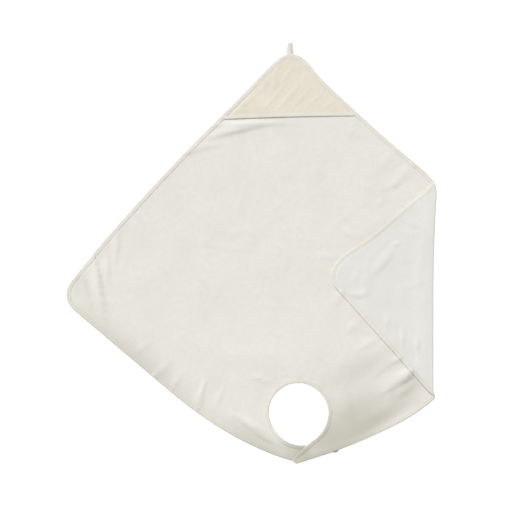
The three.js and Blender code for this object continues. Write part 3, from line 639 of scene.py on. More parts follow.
@dataclass
class Laying:
    """Turns a point of the opened-out cloth into its place on the laid-out apron.

    The folded-over corner settles on the body over `fold_settle` mm behind the fold, and has its
    own creases from `flap_start` mm on. The crown is a low mound of cloth above the neck hole. The
    fold line leans: it starts at `fold_low`, and from `lean_from` up it moves out by `lean` over
    `lean_rise` mm.
    """

    fold_settle: float = 60.0
    flap_start: float = 25.0
    crown: float = 5.0
    crown_middle: Point = (120.0, -300.0)
    crown_reach: Point = (150.0, 90.0)
    fold_low: float = -2.2
    lean: float = 11.2
    lean_from: float = -130.0
    lean_rise: float = 320.0
    fine_body: list[Crease] = field(default_factory=list)
    fine_flap: list[Crease] = field(default_factory=list)

    # Boxes of the strewn creases, and for the strap's climb the directions round the hole, in
    # degrees, and the distances from its middle between which it fades.
    BODY_BOX = (-500.0, -560.0, 500.0, 540.0)
    FLAP_BOX = (210.0, -420.0, 500.0, 190.0)
    CLIMB_TURNS = (-32.0, 25.0)
    CLIMB_REACH = (150.0, 240.0)

    def __post_init__(self) -> None:
        """Strews the fine creases."""
        self.fine_body = scattered(7, 150, self.BODY_BOX, 118.0)
        self.fine_flap = scattered(11, 34, self.FLAP_BOX, 75.0)

    def body_relief(self, x: np.ndarray, y: np.ndarray) -> np.ndarray:
        """Works out how far the body stands off the surface that it lies on, in mm.

        It adds the placed and the strewn creases, the swells, and the crown, whose height falls
        off as exp(−d²), with d the distance as a share of its reach.

        Args:
            x: First coordinates of places on the laid-out apron, in mm.
            y: Their second coordinates.

        Returns:
            Heights in mm.
        """
        away_x = (x - self.crown_middle[0]) / self.crown_reach[0]
        away_y = (y - self.crown_middle[1]) / self.crown_reach[1]
        crown = self.crown * np.exp(-(away_x**2) - away_y**2)
        return total((*BODY_CREASES, *self.fine_body, *BODY_SWELLS), x, y) + crown

    def flap_relief(self, x: np.ndarray, y: np.ndarray) -> np.ndarray:
        """Works out how much higher the folded-over corner stands than the body below it."""
        return total((*FLAP_CREASES, *self.fine_flap, *FLAP_SWELLS), x, y)

    @staticmethod
    def painted_shade(x: np.ndarray, y: np.ndarray) -> np.ndarray:
        """Works out how much painted shade darkens the apron at some places, from 0 to 1."""
        return np.clip(total(PAINTED_SHADES, x, y), 0.0, 1.0)

    def strap_lift(self, x: np.ndarray, y: np.ndarray) -> np.ndarray:
        """Works out how the right strap climbs over the left one as it comes round the hole.

        Args:
            x: First coordinates of places on the laid-out apron, in mm.
            y: Their second coordinates.

        Returns:
            Lifts in mm.
        """
        away = np.stack([x - NECK_CENTRE[0], y - NECK_CENTRE[1]])
        turn = np.degrees(np.arctan2(away[1], away[0]))
        climbed = 1.0 - smoothstep(turn, *self.CLIMB_TURNS)
        return STRAP_LIFT * climbed * (1.0 - smoothstep(np.hypot(*away), *self.CLIMB_REACH))

    def fold_drift(self, x: np.ndarray, y: np.ndarray) -> np.ndarray:
        """Works out how far the cloth near the fold shifts sideways.

        The lean grows with the square of the height. Where the tape goes round the fold, the cloth
        shifts by (1 − d²)², with d the distance along the fold as a share of that end's reach. The
        lean fades over 200 mm in from the fold, and the shifts over 60 mm.

        Args:
            x: First coordinates of places on the laid-out apron, in mm.
            y: Their second coordinates.

        Returns:
            Shifts along x, in mm.
        """
        risen = np.clip((y - self.lean_from) / self.lean_rise, 0.0, 1.0)
        lean = self.fold_low + self.lean * risen**2
        ends = sum(
            end.shift * (1.0 - np.clip(np.abs(y - end.level) / end.reach, 0.0, 1.0) ** 2) ** 2
            for end in FOLD_ENDS
        )
        return lean * smoothstep(x, 300.0, FOLD_X) + ends * smoothstep(x, 440.0, FOLD_X)

    def lay(self, plane: np.ndarray, height: np.ndarray | float, hand: Hand) -> np.ndarray:
        """Lays out points of the cloth.

        Up to the fold a point keeps its place. In the fold it goes round a half circle, at the
        fold's radius less its own height over the middle of the cloth. Beyond the fold it comes
        back over the front, upside down, and settles a little. Creases and the strap's climb
        are added to its height, and the fold's lean to its x.

        Args:
            plane: Points of the opened-out cloth, in mm, with x and y last.
            height: Height of each over the cloth's reverse side, in mm.
            hand: Which half of the cloth they belong to.

        Returns:
            Points of the laid-out apron, in mm.
        """
        x, y = plane[..., 0], plane[..., 1]
        height = np.broadcast_to(height, x.shape)
        past = x - FOLD_X
        turn = np.clip(past, 0.0, BEND) / FOLD_RADIUS
        reach = FOLD_RADIUS + CLOTH / 2 - height
        in_bend, over = (past > 0.0) & (past <= BEND), past > BEND
        settled = 2.0 * (FOLD_RADIUS - FOLD_REST) * smoothstep(past - BEND, 0.0, self.fold_settle)
        laid_x = np.where(in_bend, FOLD_X + reach * np.sin(turn), x)
        laid_x = np.where(over, FOLD_X - (past - BEND), laid_x)
        z = np.where(in_bend, CLOTH / 2 + FOLD_RADIUS - reach * np.cos(turn), height)
        z = np.where(over, 2.0 * FOLD_RADIUS + CLOTH - height - settled, z)
        z = z + self.body_relief(laid_x, y)
        z = z + self.flap_relief(laid_x, y) * smoothstep(past - BEND, 0.0, self.flap_start)
        if hand is Hand.RIGHT:
            z = z + self.strap_lift(laid_x, y)
        return np.stack([laid_x + self.fold_drift(laid_x, y), y, z], axis=-1)


# ---- Meshes -----------------------------------------------------------------------------------


def neighbours(index: np.ndarray) -> np.ndarray:
    """Gives a face for each four neighbours in a grid of corner numbers."""
    faces = np.stack([index[:-1, :-1], index[:-1, 1:], index[1:, 1:], index[1:, :-1]], axis=-1)
    return faces.reshape(-1, 4)


@dataclass
class Shape:
    """A surface in the making: corners in mm, four-sided faces, and a flat pattern place for each.

    Each corner's share of painted shade, from 0 to 1, takes its colour towards its finish's painted
    shade colour.
    """

    points: np.ndarray
    faces: np.ndarray
    flat: np.ndarray
    finish: np.ndarray
    shade_share: np.ndarray | None = None

    WELDS = 100.0  # places in a millimetre, to each of which corners are merged

    def __post_init__(self) -> None:
        """Paints no shade where no share of painted shade is given."""
        if self.shade_share is None:
            self.shade_share = np.zeros(len(self.points))

    @classmethod
    def grid(cls, points: np.ndarray, flat: np.ndarray, turned: bool = False) -> "Shape":
        """Makes a surface of a grid of points, in the first material.

        Args:
            points: Rows of points, in mm.
            flat: The place of each on the flat cloth, in mm.
            turned: True where the faces have to be turned round to point outwards.

        Returns:
            The surface, with a face between each four neighbours.
        """
        rows, columns = points.shape[:2]
        faces = neighbours(np.arange(rows * columns).reshape(rows, columns))
        faces = faces[:, ::-1] if turned else faces
        return cls(points.reshape(-1, 3), faces, flat.reshape(-1, 2), np.zeros(len(faces), int))

    @classmethod
    def joined(cls, shapes: list["Shape"]) -> "Shape":
        """Puts several surfaces into one.

        Args:
            shapes: The surfaces.

        Returns:
            One surface, whose parts aren't yet welded.
        """
        starts = np.cumsum([0] + [len(shape.points) for shape in shapes[:-1]])
        return cls(
            np.concatenate([shape.points for shape in shapes]),
            np.concatenate([shape.faces + start for shape, start in zip(shapes, starts)]),
            np.concatenate([shape.flat for shape in shapes]),
            np.concatenate([shape.finish for shape in shapes]),
            np.concatenate([shape.shade_share for shape in shapes]),
        )

    def welded(self) -> "Shape":
        """Merges corners that lie within a hundredth of a millimetre of each other.

        Returns:
            The surface with each corner once.
        """
        places = np.round(self.points * self.WELDS).astype(np.int64)
        _, first, where = np.unique(places, axis=0, return_index=True, return_inverse=True)
        faces = where.reshape(-1)[self.faces]
        return Shape(self.points[first], faces, self.flat[first], self.finish, self.shade_share[first])

    def piece(self, name: str, materials: list[bpy.types.Material]) -> bpy.types.Object:
        """Writes the surface into a smooth mesh, in metres.

        A face with two corners in one place becomes a triangle, and one with less is dropped.

        Args:
            name: The piece's name.
            materials: Its materials, in the order of their numbers.

        Returns:
            The piece, linked to the scene.
        """
        after = np.roll(self.faces, -1, axis=1)
        same = self.faces == after
        crossed = (self.faces[:, 0] == self.faces[:, 2]) | (self.faces[:, 1] == self.faces[:, 3])
        whole = (same.sum(axis=1) == 0) & ~crossed
        three = (same.sum(axis=1) == 1) & ~crossed
        kept = (np.argmax(same[three], axis=1)[:, None] + np.arange(1, 4)) % 4
        triangles = np.take_along_axis(self.faces[three], kept, axis=1)
        corners = np.concatenate([self.faces[whole].ravel(), triangles.ravel()])
        sizes = np.concatenate([np.full(whole.sum(), 4), np.full(three.sum(), 3)])
        mesh = bpy.data.meshes.new(name)
        mesh.vertices.add(len(self.points))
        mesh.vertices.foreach_set("co", (self.points * MM).ravel())
        mesh.loops.add(len(corners))
        mesh.loops.foreach_set("vertex_index", corners)
        mesh.polygons.add(len(sizes))
        mesh.polygons.foreach_set("loop_start", np.cumsum(sizes) - sizes)
        mesh.polygons.foreach_set("loop_total", sizes)
        numbers = np.concatenate([self.finish[whole], self.finish[three]])
        mesh.polygons.foreach_set("material_index", numbers)
        mesh.polygons.foreach_set("use_smooth", np.ones(len(sizes), bool))
        layer = mesh.uv_layers.new(name=Finish.UV)
        layer.uv.foreach_set("vector", (self.flat[corners] * MM).ravel())
        shade_share = mesh.attributes.new(Finish.SHADE_SHARE, "FLOAT", "POINT")
        shade_share.data.foreach_set("value", self.shade_share.astype(np.float32))
        mesh.update(calc_edges=True)
        mesh.validate()
        mesh.set_sharp_from_angle(angle=CUT_EDGE)
        for material in materials:
            mesh.materials.append(material)
        piece = bpy.data.objects.new(name, mesh)
        bpy.context.scene.collection.objects.link(piece)
        return piece


def loft(sections: np.ndarray, flat: np.ndarray, turned: bool = False) -> Shape:
    """Makes a closed strip of cloth from sections that each go round its thickness.

    A section lists its outer points and then its inner ones backwards, so each end is closed by
    faces between the outer and the inner point of each pair.

    Args:
        sections: Sections, points and coordinates, in mm.
        flat: The place of each point on the flat strip, in mm.
        turned: True where the faces have to be turned round to point outwards.

    Returns:
        The closed strip.
    """
    ring, flat_ring = [np.concatenate([part, part[:, :1]], axis=1) for part in (sections, flat)]
    half = sections.shape[1] // 2
    ends = []
    for which, other in ((0, turned), (-1, not turned)):
        pair = np.stack([sections[which, :half], sections[which, half:][::-1]])
        place = np.stack([flat[which, :half], flat[which, half:][::-1]])
        ends.append(Shape.grid(pair, place, other))
    return Shape.joined([Shape.grid(ring, flat_ring, turned), *ends]).welded()


# ---- Finishes ---------------------------------------------------------------------------------


# Numbers of a mix node's sockets for colours: its share, its two colours and its result.
MIX_SHARE, MIX_FIRST, MIX_SECOND, MIX_RESULT = 0, 6, 7, 2


def linear(colour: str) -> Colour:
    """Turns an sRGB colour into linear light: c/12.92 when dark, else ((c + 0.055)/1.055)^2.4.

    Args:
        colour: Its hex code.

    Returns:
        Red, green, blue and an alpha of 1.
    """
    parts = [int(colour[i : i + 2], 16) / 255.0 for i in (1, 3, 5)]
    red, green, blue = (c / 12.92 if c <= 0.04045 else ((c + 0.055) / 1.055) ** 2.4 for c in parts)
    return red, green, blue, 1.0


def add_node(
    tree: bpy.types.NodeTree, kind: str, inputs: dict | None = None, **settings: object
) -> bpy.types.Node:
    """Adds a node to a material.

    Args:
        tree: The material's node tree.
        kind: The node's type.
        inputs: For each input's name or number, a value to set or a socket to link from.
        **settings: Properties of the node.

    Returns:
        The node.
    """
    node = tree.nodes.new(kind)
    for name, value in settings.items():
        setattr(node, name, value)
    for name, value in (inputs or {}).items():
        if isinstance(value, bpy.types.NodeSocket):
            tree.links.new(value, node.inputs[name])
        else:
            node.inputs[name].default_value = value
    return node


@dataclass(frozen=True)
class Finish:
    """A cloth's finish: its colours and how it scatters light. Sizes are in metres.

    A wave of scale s has its bands 314/s mm apart, or 444/s mm if they lie across the diagonal.
    """

    name: str
    colour: str
    shade: str
    # the colour that painted shade darkens it towards
    painted_shade_colour: str
    roughness: float
    sheen: float

    UV = "flat_cloth"
    SHADE_SHARE = "shade_share"
    MOTTLE = (0.12, 0.42)  # where the product of two noises mostly lies

    def start(self) -> tuple[bpy.types.Material, bpy.types.NodeTree, bpy.types.NodeSocket]:
        """Starts the material.

        Returns:
            The material, its nodes and the flat cloth's coordinates.
        """
        material = bpy.data.materials.new(self.name)
        material.use_nodes = True
        tree = material.node_tree
        tree.nodes.clear()
        return material, tree, add_node(tree, "ShaderNodeUVMap", uv_map=self.UV).outputs["UV"]

    def mottled(
        self, tree: bpy.types.NodeTree, place: bpy.types.NodeSocket, scales: Point
    ) -> bpy.types.NodeSocket:
        """Blends the cloth's two near shades by slow and quick noise, and its painted shade colour by
        each corner's share of painted shade.

        Args:
            tree: The material's nodes.
            place: The coordinates.
            scales: Bumps per metre of the slow and of the quick noise.

        Returns:
            The colour's socket.
        """
        slow, quick = (
            add_node(
                tree, "ShaderNodeTexNoise", {"Vector": place, "Scale": scale, "Detail": 3.0}
            ).outputs["Fac"]
            for scale in scales
        )
        both = add_node(tree, "ShaderNodeMath", {0: slow, 1: quick}, operation="MULTIPLY").outputs[0]
        low, high = self.MOTTLE
        spread = add_node(
            tree, "ShaderNodeMapRange", {"Value": both, "From Min": low, "From Max": high}
        ).outputs[0]
        shades = {MIX_SHARE: spread, MIX_FIRST: linear(self.shade), MIX_SECOND: linear(self.colour)}
        near = add_node(tree, "ShaderNodeMix", shades, data_type="RGBA").outputs[MIX_RESULT]
        # Painted shade: the colour goes towards the painted shade colour by each corner's share.
        shade_share = add_node(tree, "ShaderNodeAttribute", attribute_name=self.SHADE_SHARE).outputs["Fac"]
        shades = {MIX_SHARE: shade_share, MIX_FIRST: near, MIX_SECOND: linear(self.painted_shade_colour)}
        return add_node(tree, "ShaderNodeMix", shades, data_type="RGBA").outputs[MIX_RESULT]

    def close(
        self, tree: bpy.types.NodeTree, colour: bpy.types.NodeSocket, heights: list[tuple]
    ) -> None:
        """Adds a chain of bumps and the shader, and links the output.

        Args:
            tree: The material's nodes.
            colour: The colour's socket.
            heights: For each bump, its height's socket, strength and depth in metres.
        """
        normal = None
        for height, strength, depth in heights:
            inputs = {"Height": height, "Strength": strength, "Distance": depth}
            if normal is not None:
                inputs["Normal"] = normal
            normal = add_node(tree, "ShaderNodeBump", inputs).outputs["Normal"]
        shader = add_node(
            tree, "ShaderNodeBsdfPrincipled",
            {
                "Base Color": colour, "Normal": normal, "Roughness": self.roughness,
                "Sheen Weight": self.sheen, "Sheen Roughness": 0.6, "Specular IOR Level": 0.12,
            },
        )
        add_node(tree, "ShaderNodeOutputMaterial", {"Surface": shader.outputs["BSDF"]})


@dataclass(frozen=True)
class Velour(Finish):
    """Sheared cotton towelling: the loops are cut to an even nap that looks soft and quite matt."""

    def build(self) -> bpy.types.Material:
        """Makes the material: a fine nap, faint wales and the soft dents of handling.

        The real nap is about 0.5 mm fine and its wales 2 mm apart. They are drawn at 1.6 mm and
        8.5 mm, because finer would not show.

        Returns:
            The material.
        """
        material, tree, place = self.start()
        nap = add_node(tree, "ShaderNodeTexNoise", {"Vector": place, "Scale": 620.0, "Detail": 2.0})
        dents = add_node(
            tree, "ShaderNodeTexNoise",
            {"Vector": place, "Scale": 62.0, "Detail": 4.0, "Distortion": 0.6},
        )
        wales = add_node(
            tree, "ShaderNodeTexWave",
            {"Vector": place, "Scale": 52.0, "Distortion": 1.6, "Detail": 2.0, "Detail Scale": 1.4},
            bands_direction="DIAGONAL",
        )
        heights = [
            (dents.outputs["Fac"], 0.3, 0.0012),
            (wales.outputs["Fac"], 0.12, 0.0003),
            (nap.outputs["Fac"], 0.2, 0.0004),
        ]
        self.close(tree, self.mottled(tree, place, (9.0, 75.0)), heights)
        return material


@dataclass(frozen=True)
class LoopedTerry(Finish):
    """Uncut cotton loops: whiter than the nap, with a small shadow between loops."""

    def build(self) -> bpy.types.Material:
        """Makes the material: round loops, rows of them, and their shadowed gaps.

        Real loops stand about 1.5 mm apart. They are drawn at 2.6 mm, so that they still show.

        Returns:
            The material.
        """
        material, tree, place = self.start()
        loops = add_node(
            tree, "ShaderNodeTexVoronoi", {"Vector": place, "Scale": 390.0, "Randomness": 0.8}
        )
        lean = add_node(tree, "ShaderNodeTexNoise", {"Vector": place, "Scale": 120.0, "Detail": 3.0})
        round_loops = add_node(
            tree, "ShaderNodeMapRange",
            {
                "Value": loops.outputs["Distance"], "From Min": 0.0, "From Max": 0.8,
                "To Min": 1.0, "To Max": 0.0,
            },
        )
        mottled = self.mottled(tree, place, (12.0, 160.0))
        shades = {MIX_SHARE: round_loops.outputs[0], MIX_FIRST: linear(self.shade), MIX_SECOND: mottled}
        gaps = add_node(tree, "ShaderNodeMix", shades, data_type="RGBA")
        heights = [(lean.outputs["Fac"], 0.25, 0.0007), (round_loops.outputs[0], 0.25, 0.0004)]
        self.close(tree, gaps.outputs[MIX_RESULT], heights)
        return material


@dataclass(frozen=True)
class Twill(Finish):
    """Plain cotton cloth whose threads show as fine slanting lines.

    `scale` is that of the stronger set of lines, and `crinkle` the depth of its small creases.
    Real lines are a millimetre apart. They are drawn at 4.7 mm on the hood and at 3.3 mm on the
    tapes, because finer would not show.
    """

    scale: float = 66.667
    crinkle: float = 0.0012

    WEFT = 21 / 17  # lines of the weaker set to each of the stronger one

    def build(self) -> bpy.types.Material:
        """Makes the material: two crossed sets of threads, one stronger, and small creases.

        Returns:
            The material.
        """
        material, tree, place = self.start()
        turned = add_node(tree, "ShaderNodeMapping", {"Vector": place, "Rotation": (0.0, 0.0, BIAS)})
        warp, weft = (
            add_node(
                tree, "ShaderNodeTexWave",
                {"Vector": turned.outputs[0], "Scale": scale, "Distortion": 0.5, "Detail": 1.0},
                bands_direction=way,
            ).outputs["Fac"]
            for way, scale in (("X", self.scale), ("Y", self.scale * self.WEFT))
        )
        crinkle = add_node(
            tree, "ShaderNodeTexNoise",
            {"Vector": place, "Scale": 95.0, "Detail": 3.0, "Distortion": 0.8},
        )
        heights = [
            (crinkle.outputs["Fac"], 0.4, self.crinkle), (warp, 0.25, 0.0003), (weft, 0.15, 0.0002),
        ]
        self.close(tree, self.mottled(tree, place, (14.0, 110.0)), heights)
        return material


@dataclass(frozen=True)
class Spun(Finish):
    """Twisted cotton thread or nylon fuzz, too small to show more than a grain."""

    def build(self) -> bpy.types.Material:
        """Makes the material: a slight grain, 1 mm wide.

        Returns:
            The material.
        """
        material, tree, place = self.start()
        grain = add_node(tree, "ShaderNodeTexNoise", {"Vector": place, "Scale": 1000.0, "Detail": 1.0})
        heights = [(grain.outputs["Fac"], 0.4, 0.0004)]
        self.close(tree, self.mottled(tree, place, (20.0, 200.0)), heights)
        return material


class Wardrobe:
    """All the finishes of the apron, built once."""

    def __init__(self) -> None:
        """Builds the materials."""
        # The darkest colour of each finish is for painted shade, blended in by each corner's share of
        # painted shade.
        self.velour = Velour(
            "sheared_cotton_velour", colour="#E3E1DA", shade="#DFDCD4", painted_shade_colour="#C2BFB3",
            roughness=0.95, sheen=0.1,
        ).build()
        self.terry = LoopedTerry(
            "looped_cotton_terry", colour="#E8E8E3", shade="#DDDCD6", painted_shade_colour="#C6C5BF",
            roughness=0.95, sheen=0.1,
        ).build()
        self.hood = Twill(
            "cotton_twill_hood", colour="#E4DCCE", shade="#DED6C7", painted_shade_colour="#C4B9A6",
            roughness=0.92, sheen=0.08,
        ).build()
        self.tape = Twill(
            "cotton_bias_tape", colour="#E3DFD6", shade="#DDD9CF", painted_shade_colour="#BAB7AB",
            roughness=0.9, sheen=0.08, scale=95.238, crinkle=0.0006,
        ).build()
        self.thread = Spun(
            "cotton_thread", colour="#E0DCD2", shade="#D8D3C8", painted_shade_colour="#B9B6AB",
            roughness=0.8, sheen=0.1,
        ).build()
        self.pad = Spun(
            "nylon_hook_and_loop", colour="#D6D1C6", shade="#CBC5B8", painted_shade_colour="#B5AFA2",
            roughness=0.7, sheen=0.3,
        ).build()


# ---- The towelling ----------------------------------------------------------------------------


@dataclass
class TowelPanel:
    """The towelling, as a closed shell: velour on its front and loops on its reverse.

    Counts are of faces along and across it, and sizes are in mm.
    """

    plan: Plan
    laying: Laying
    row_step: float = 5.2
    left_columns: int = 82
    right_columns: int = 46
    bend_columns: int = 8
    flap_columns: int = 38
    quarter_rows: int = 20
    strap_rows: int = 18
    tip_rows: int = 8
    pucker: float = 0.38
    pucker_reach: float = 13.0

    # The corner's rows, as distances from its top; how near two rows may come, as a share of the
    # step; the thinned edge inside a tape, as depth and height, from front to reverse.
    CORNER_ROWS = np.arange(5.0, 90.0, 5.0)
    NEAREST = 0.3
    TONGUE = ((9.0, 2.25), (4.0, 2.1), (2.4, 1.8), (4.0, 1.5), (9.0, 1.35))

    def __post_init__(self) -> None:
        """Works out the rows of both halves."""
        self.neck_top = float(self.plan.neck[Hand.LEFT].inside(TONGUE_START)[0, 1])
        self.panel_top = float(self.plan.outer[Hand.LEFT].inside(TONGUE_START)[0, 1])
        self.levels = self.row_levels()

    def fold_levels(self) -> np.ndarray:
        """Gives the levels at which the right side's inset edge enters and leaves the fold.

        Returns:
            One level above and one below for each of the fold's columns.
        """
        line = self.plan.outer[Hand.RIGHT].inside(TONGUE_START)
        far = int(np.argmax(line[:, 0]))
        columns = FOLD_X + BEND * np.arange(self.bend_columns + 1) / self.bend_columns
        above = np.interp(columns, line[: far + 1, 0], line[: far + 1, 1])
        below = np.interp(columns, line[far:, 0][::-1], line[far:, 1][::-1])
        return np.concatenate([above, below])

    def row_levels(self) -> np.ndarray:
        """Gives all rows' levels from the top corner to the neck hole's middle, high to low.

        They crowd on the rounded corner and round the hole, and each column of the fold has
        its own two.

        Returns:
            The levels.
        """
        outer = self.plan.outer[Hand.LEFT]
        top = outer.at(self.CORNER_ROWS).inside(TONGUE_START)[:, 1]
        band = np.arange(top[-1] - self.row_step, self.neck_top, -self.row_step)
        turns = np.radians(90.0 * np.arange(1, self.quarter_rows) / self.quarter_rows)
        round_neck = NECK_CENTRE[1] + (self.neck_top - NECK_CENTRE[1]) * np.cos(turns)
        fixed = np.concatenate([[self.neck_top, NECK_CENTRE[1]], self.fold_levels()])
        loose = np.concatenate([top, band, round_neck])
        clear = np.abs(loose[:, None] - fixed[None, :]).min(axis=1) > self.NEAREST * self.row_step
        return np.sort(np.concatenate([fixed, loose[clear]]))[::-1]

    def rows(self, hand: Hand) -> tuple[Edge, Edge, np.ndarray, int]:
        """Works out where each row of a half starts and ends.

        From the top a row runs level from the spine to the outside edge, and below the hole's
        top from the hole. Round the lower half of the hole the rows turn with it, and then they
        share out the strap and its tip evenly.

        Args:
            hand: Which half.

        Returns:
            The outside stations, the neck stations, the inner points, and how many rows start
            at the spine.
        """
        flank, outer, neck = FLANKS[hand], self.plan.outer[hand], self.plan.neck[hand]
        spine = int(np.sum(self.levels > self.neck_top)) + 1
        far = np.concatenate([[0.0], outer.length_at_level(self.levels)])
        near = neck.length_at_level(self.levels[spine - 1 :])
        turns = np.linspace(90.0, flank.turns_to, self.quarter_rows + 1)[1:]
        tip = flank.radius * math.pi / 2
        lengths = []
        for edge, start in ((outer, far[-1]), (neck, near[-1])):
            turning = edge.length_at_turn(turns, hand, start)
            tip_start = edge.length[-1] - tip
            strap = np.linspace(turning[-1], tip_start, self.strap_rows + 1)[1:]
            end = np.linspace(tip_start, edge.length[-1], self.tip_rows + 1)[1:]
            lengths.append(np.concatenate([turning, strap, end]))
        outside = outer.at(np.concatenate([far, lengths[0]]))
        inner = neck.at(np.concatenate([near, lengths[1]]))
        top, foot = outer.inside(TONGUE_START)[0], neck.inside(TONGUE_START)[0]
        levels = np.concatenate([[self.panel_top], self.levels[: spine - 1]])
        share = (self.panel_top - levels) / (self.panel_top - self.neck_top)
        middle = np.concatenate([blend(top, foot, share[:, None]), inner.inside(TONGUE_START)])
        return outside, inner, middle, spine

    def across(self, hand: Hand, middle: np.ndarray, edge: np.ndarray) -> np.ndarray:
        """Shares out the points of each row.

        On the left they are even. On the right they keep to the fold's columns, and those
        beyond the end of a short row fall together on its end.

        Args:
            hand: Which half.
            middle: Each row's inner point.
            edge: Each row's outer point.

        Returns:
            Rows of points of the opened-out cloth.
        """
        if hand is Hand.LEFT:
            shares = np.linspace(0.0, 1.0, self.left_columns + 1)[None]
        else:
            stops = FOLD_X + BEND * np.arange(self.bend_columns + 1) / self.bend_columns
            width = edge[:, :1] - middle[:, :1]
            folded = edge[:, :1] > FOLD_X
            held = (np.minimum(stops, edge[:, :1]) - middle[:, :1]) / np.where(folded, width, 1.0)
            held = np.where(folded, held, 1.0)
            flat = held[:, :1] * np.linspace(0.0, 1.0, self.right_columns + 1)
            flap = blend(held[:, -1:], 1.0, np.linspace(0.0, 1.0, self.flap_columns + 1)[1:])
            shares = np.concatenate([flat, held[:, 1:], flap], axis=1)
        return middle[:, None] + (edge - middle)[:, None] * shares[..., None]

    def seam_pull(self, depth: np.ndarray, length: np.ndarray, seed: int) -> np.ndarray:
        """Works out the small puckers that a seam draws into the cloth beside it.

        They are noise along the seam, 15 mm and half as strongly 7 mm wide, which dies away from
        the seam as exp(−d), with d the distance as a share of the puckers' reach.

        Args:
            depth: Distances from the edge, in mm.
            length: Distances along it.
            seed: Which noise.

        Returns:
            Heights in mm.
        """
        broad = soft_noise(length, depth * 0.3, 15.0, seed)
        wave = broad + 0.5 * soft_noise(length, depth * 0.3, 7.0, seed + 1)
        away = np.maximum(depth - TONGUE_START, 0.0) / self.pucker_reach
        return self.pucker * (0.9 + 0.8 * wave) * np.exp(-away)

    def half(self, hand: Hand) -> list[Shape]:
        """Builds one half: its front and reverse, and the thinned edges inside the tapes.

        Args:
            hand: Which half.

        Returns:
            The surfaces of its sections, which close on each other once welded.
        """
        outside, inner, middle, spine = self.rows(hand)
        edge = outside.inside(TONGUE_START)
        plan = self.across(hand, middle, edge)
        to_edge = TONGUE_START + np.linalg.norm(plan - edge[:, None], axis=-1)
        pull = self.seam_pull(to_edge, outside.length[:, None], 21)
        to_neck = TONGUE_START + np.linalg.norm(plan[spine:] - middle[spine:, None], axis=-1)
        pull[spine:] += self.seam_pull(to_neck, inner.length[:, None], 23)
        face = self.laying.lay(plan, CLOTH + NAP + pull, hand)
        reverse = self.laying.lay(plan, np.zeros(plan.shape[:2]), hand)
        outer_edge = self.tongue(outside, hand)
        inner_edge = self.tongue(inner, hand)
        section = np.concatenate([face, outer_edge, reverse[:, ::-1]], axis=1)
        neck = np.concatenate([face[spine:, :1], inner_edge, reverse[spine:, :1]], axis=1)
        left = hand is Hand.LEFT
        shapes = [
            self.dressed(section, plan, len(outer_edge[0]), left),
            self.dressed(neck, plan[spine:, :1], len(inner_edge[0]), not left),
        ]
        # Painted shade from the swaths, on front and reverse alike.
        for shape in shapes:
            shape.shade_share = self.laying.painted_shade(shape.points[:, 0], shape.points[:, 1])
        return shapes

    def tongue(self, edge: Edge, hand: Hand) -> np.ndarray:
        """Lays out the thinned edge inside a tape, from front to reverse."""
        steps = [self.laying.lay(edge.inside(depth), height, hand) for depth, height in self.TONGUE]
        return np.stack(steps, axis=1)

    @staticmethod
    def dressed(section: np.ndarray, plan: np.ndarray, between: int, turned: bool) -> Shape:
        """Makes the surface of the sections, velour up to the middle of the edge and then loops.

        Args:
            section: Rows of points round the cloth: the front, its edge and the reverse.
            plan: The front's points on the opened-out cloth.
            between: How many of a row's points are the edge's.
            turned: True where the faces have to be turned round to point outwards.

        Returns:
            The surface, whose flat places are turned by the bias.
        """
        count = plan.shape[1]
        held = np.repeat(plan[:, -1:], between, axis=1)
        flat = np.concatenate([plan, held, plan[:, ::-1]], axis=1)
        away = np.array([[math.cos(BIAS), -math.sin(BIAS)], [math.sin(BIAS), math.cos(BIAS)]])
        shape = Shape.grid(section, flat @ away, turned)
        columns = np.tile(np.arange(section.shape[1] - 1), section.shape[0] - 1)
        shape.finish = (columns > count + between // 2).astype(int)
        return shape

    def build(self, finishes: Wardrobe) -> bpy.types.Object:
        """Builds the panel and dresses it."""
        shape = Shape.joined([*self.half(Hand.LEFT), *self.half(Hand.RIGHT)]).welded()
        return shape.piece("towel_panel", [finishes.velour, finishes.terry])


# ---- Bindings ---------------------------------------------------------------------------------


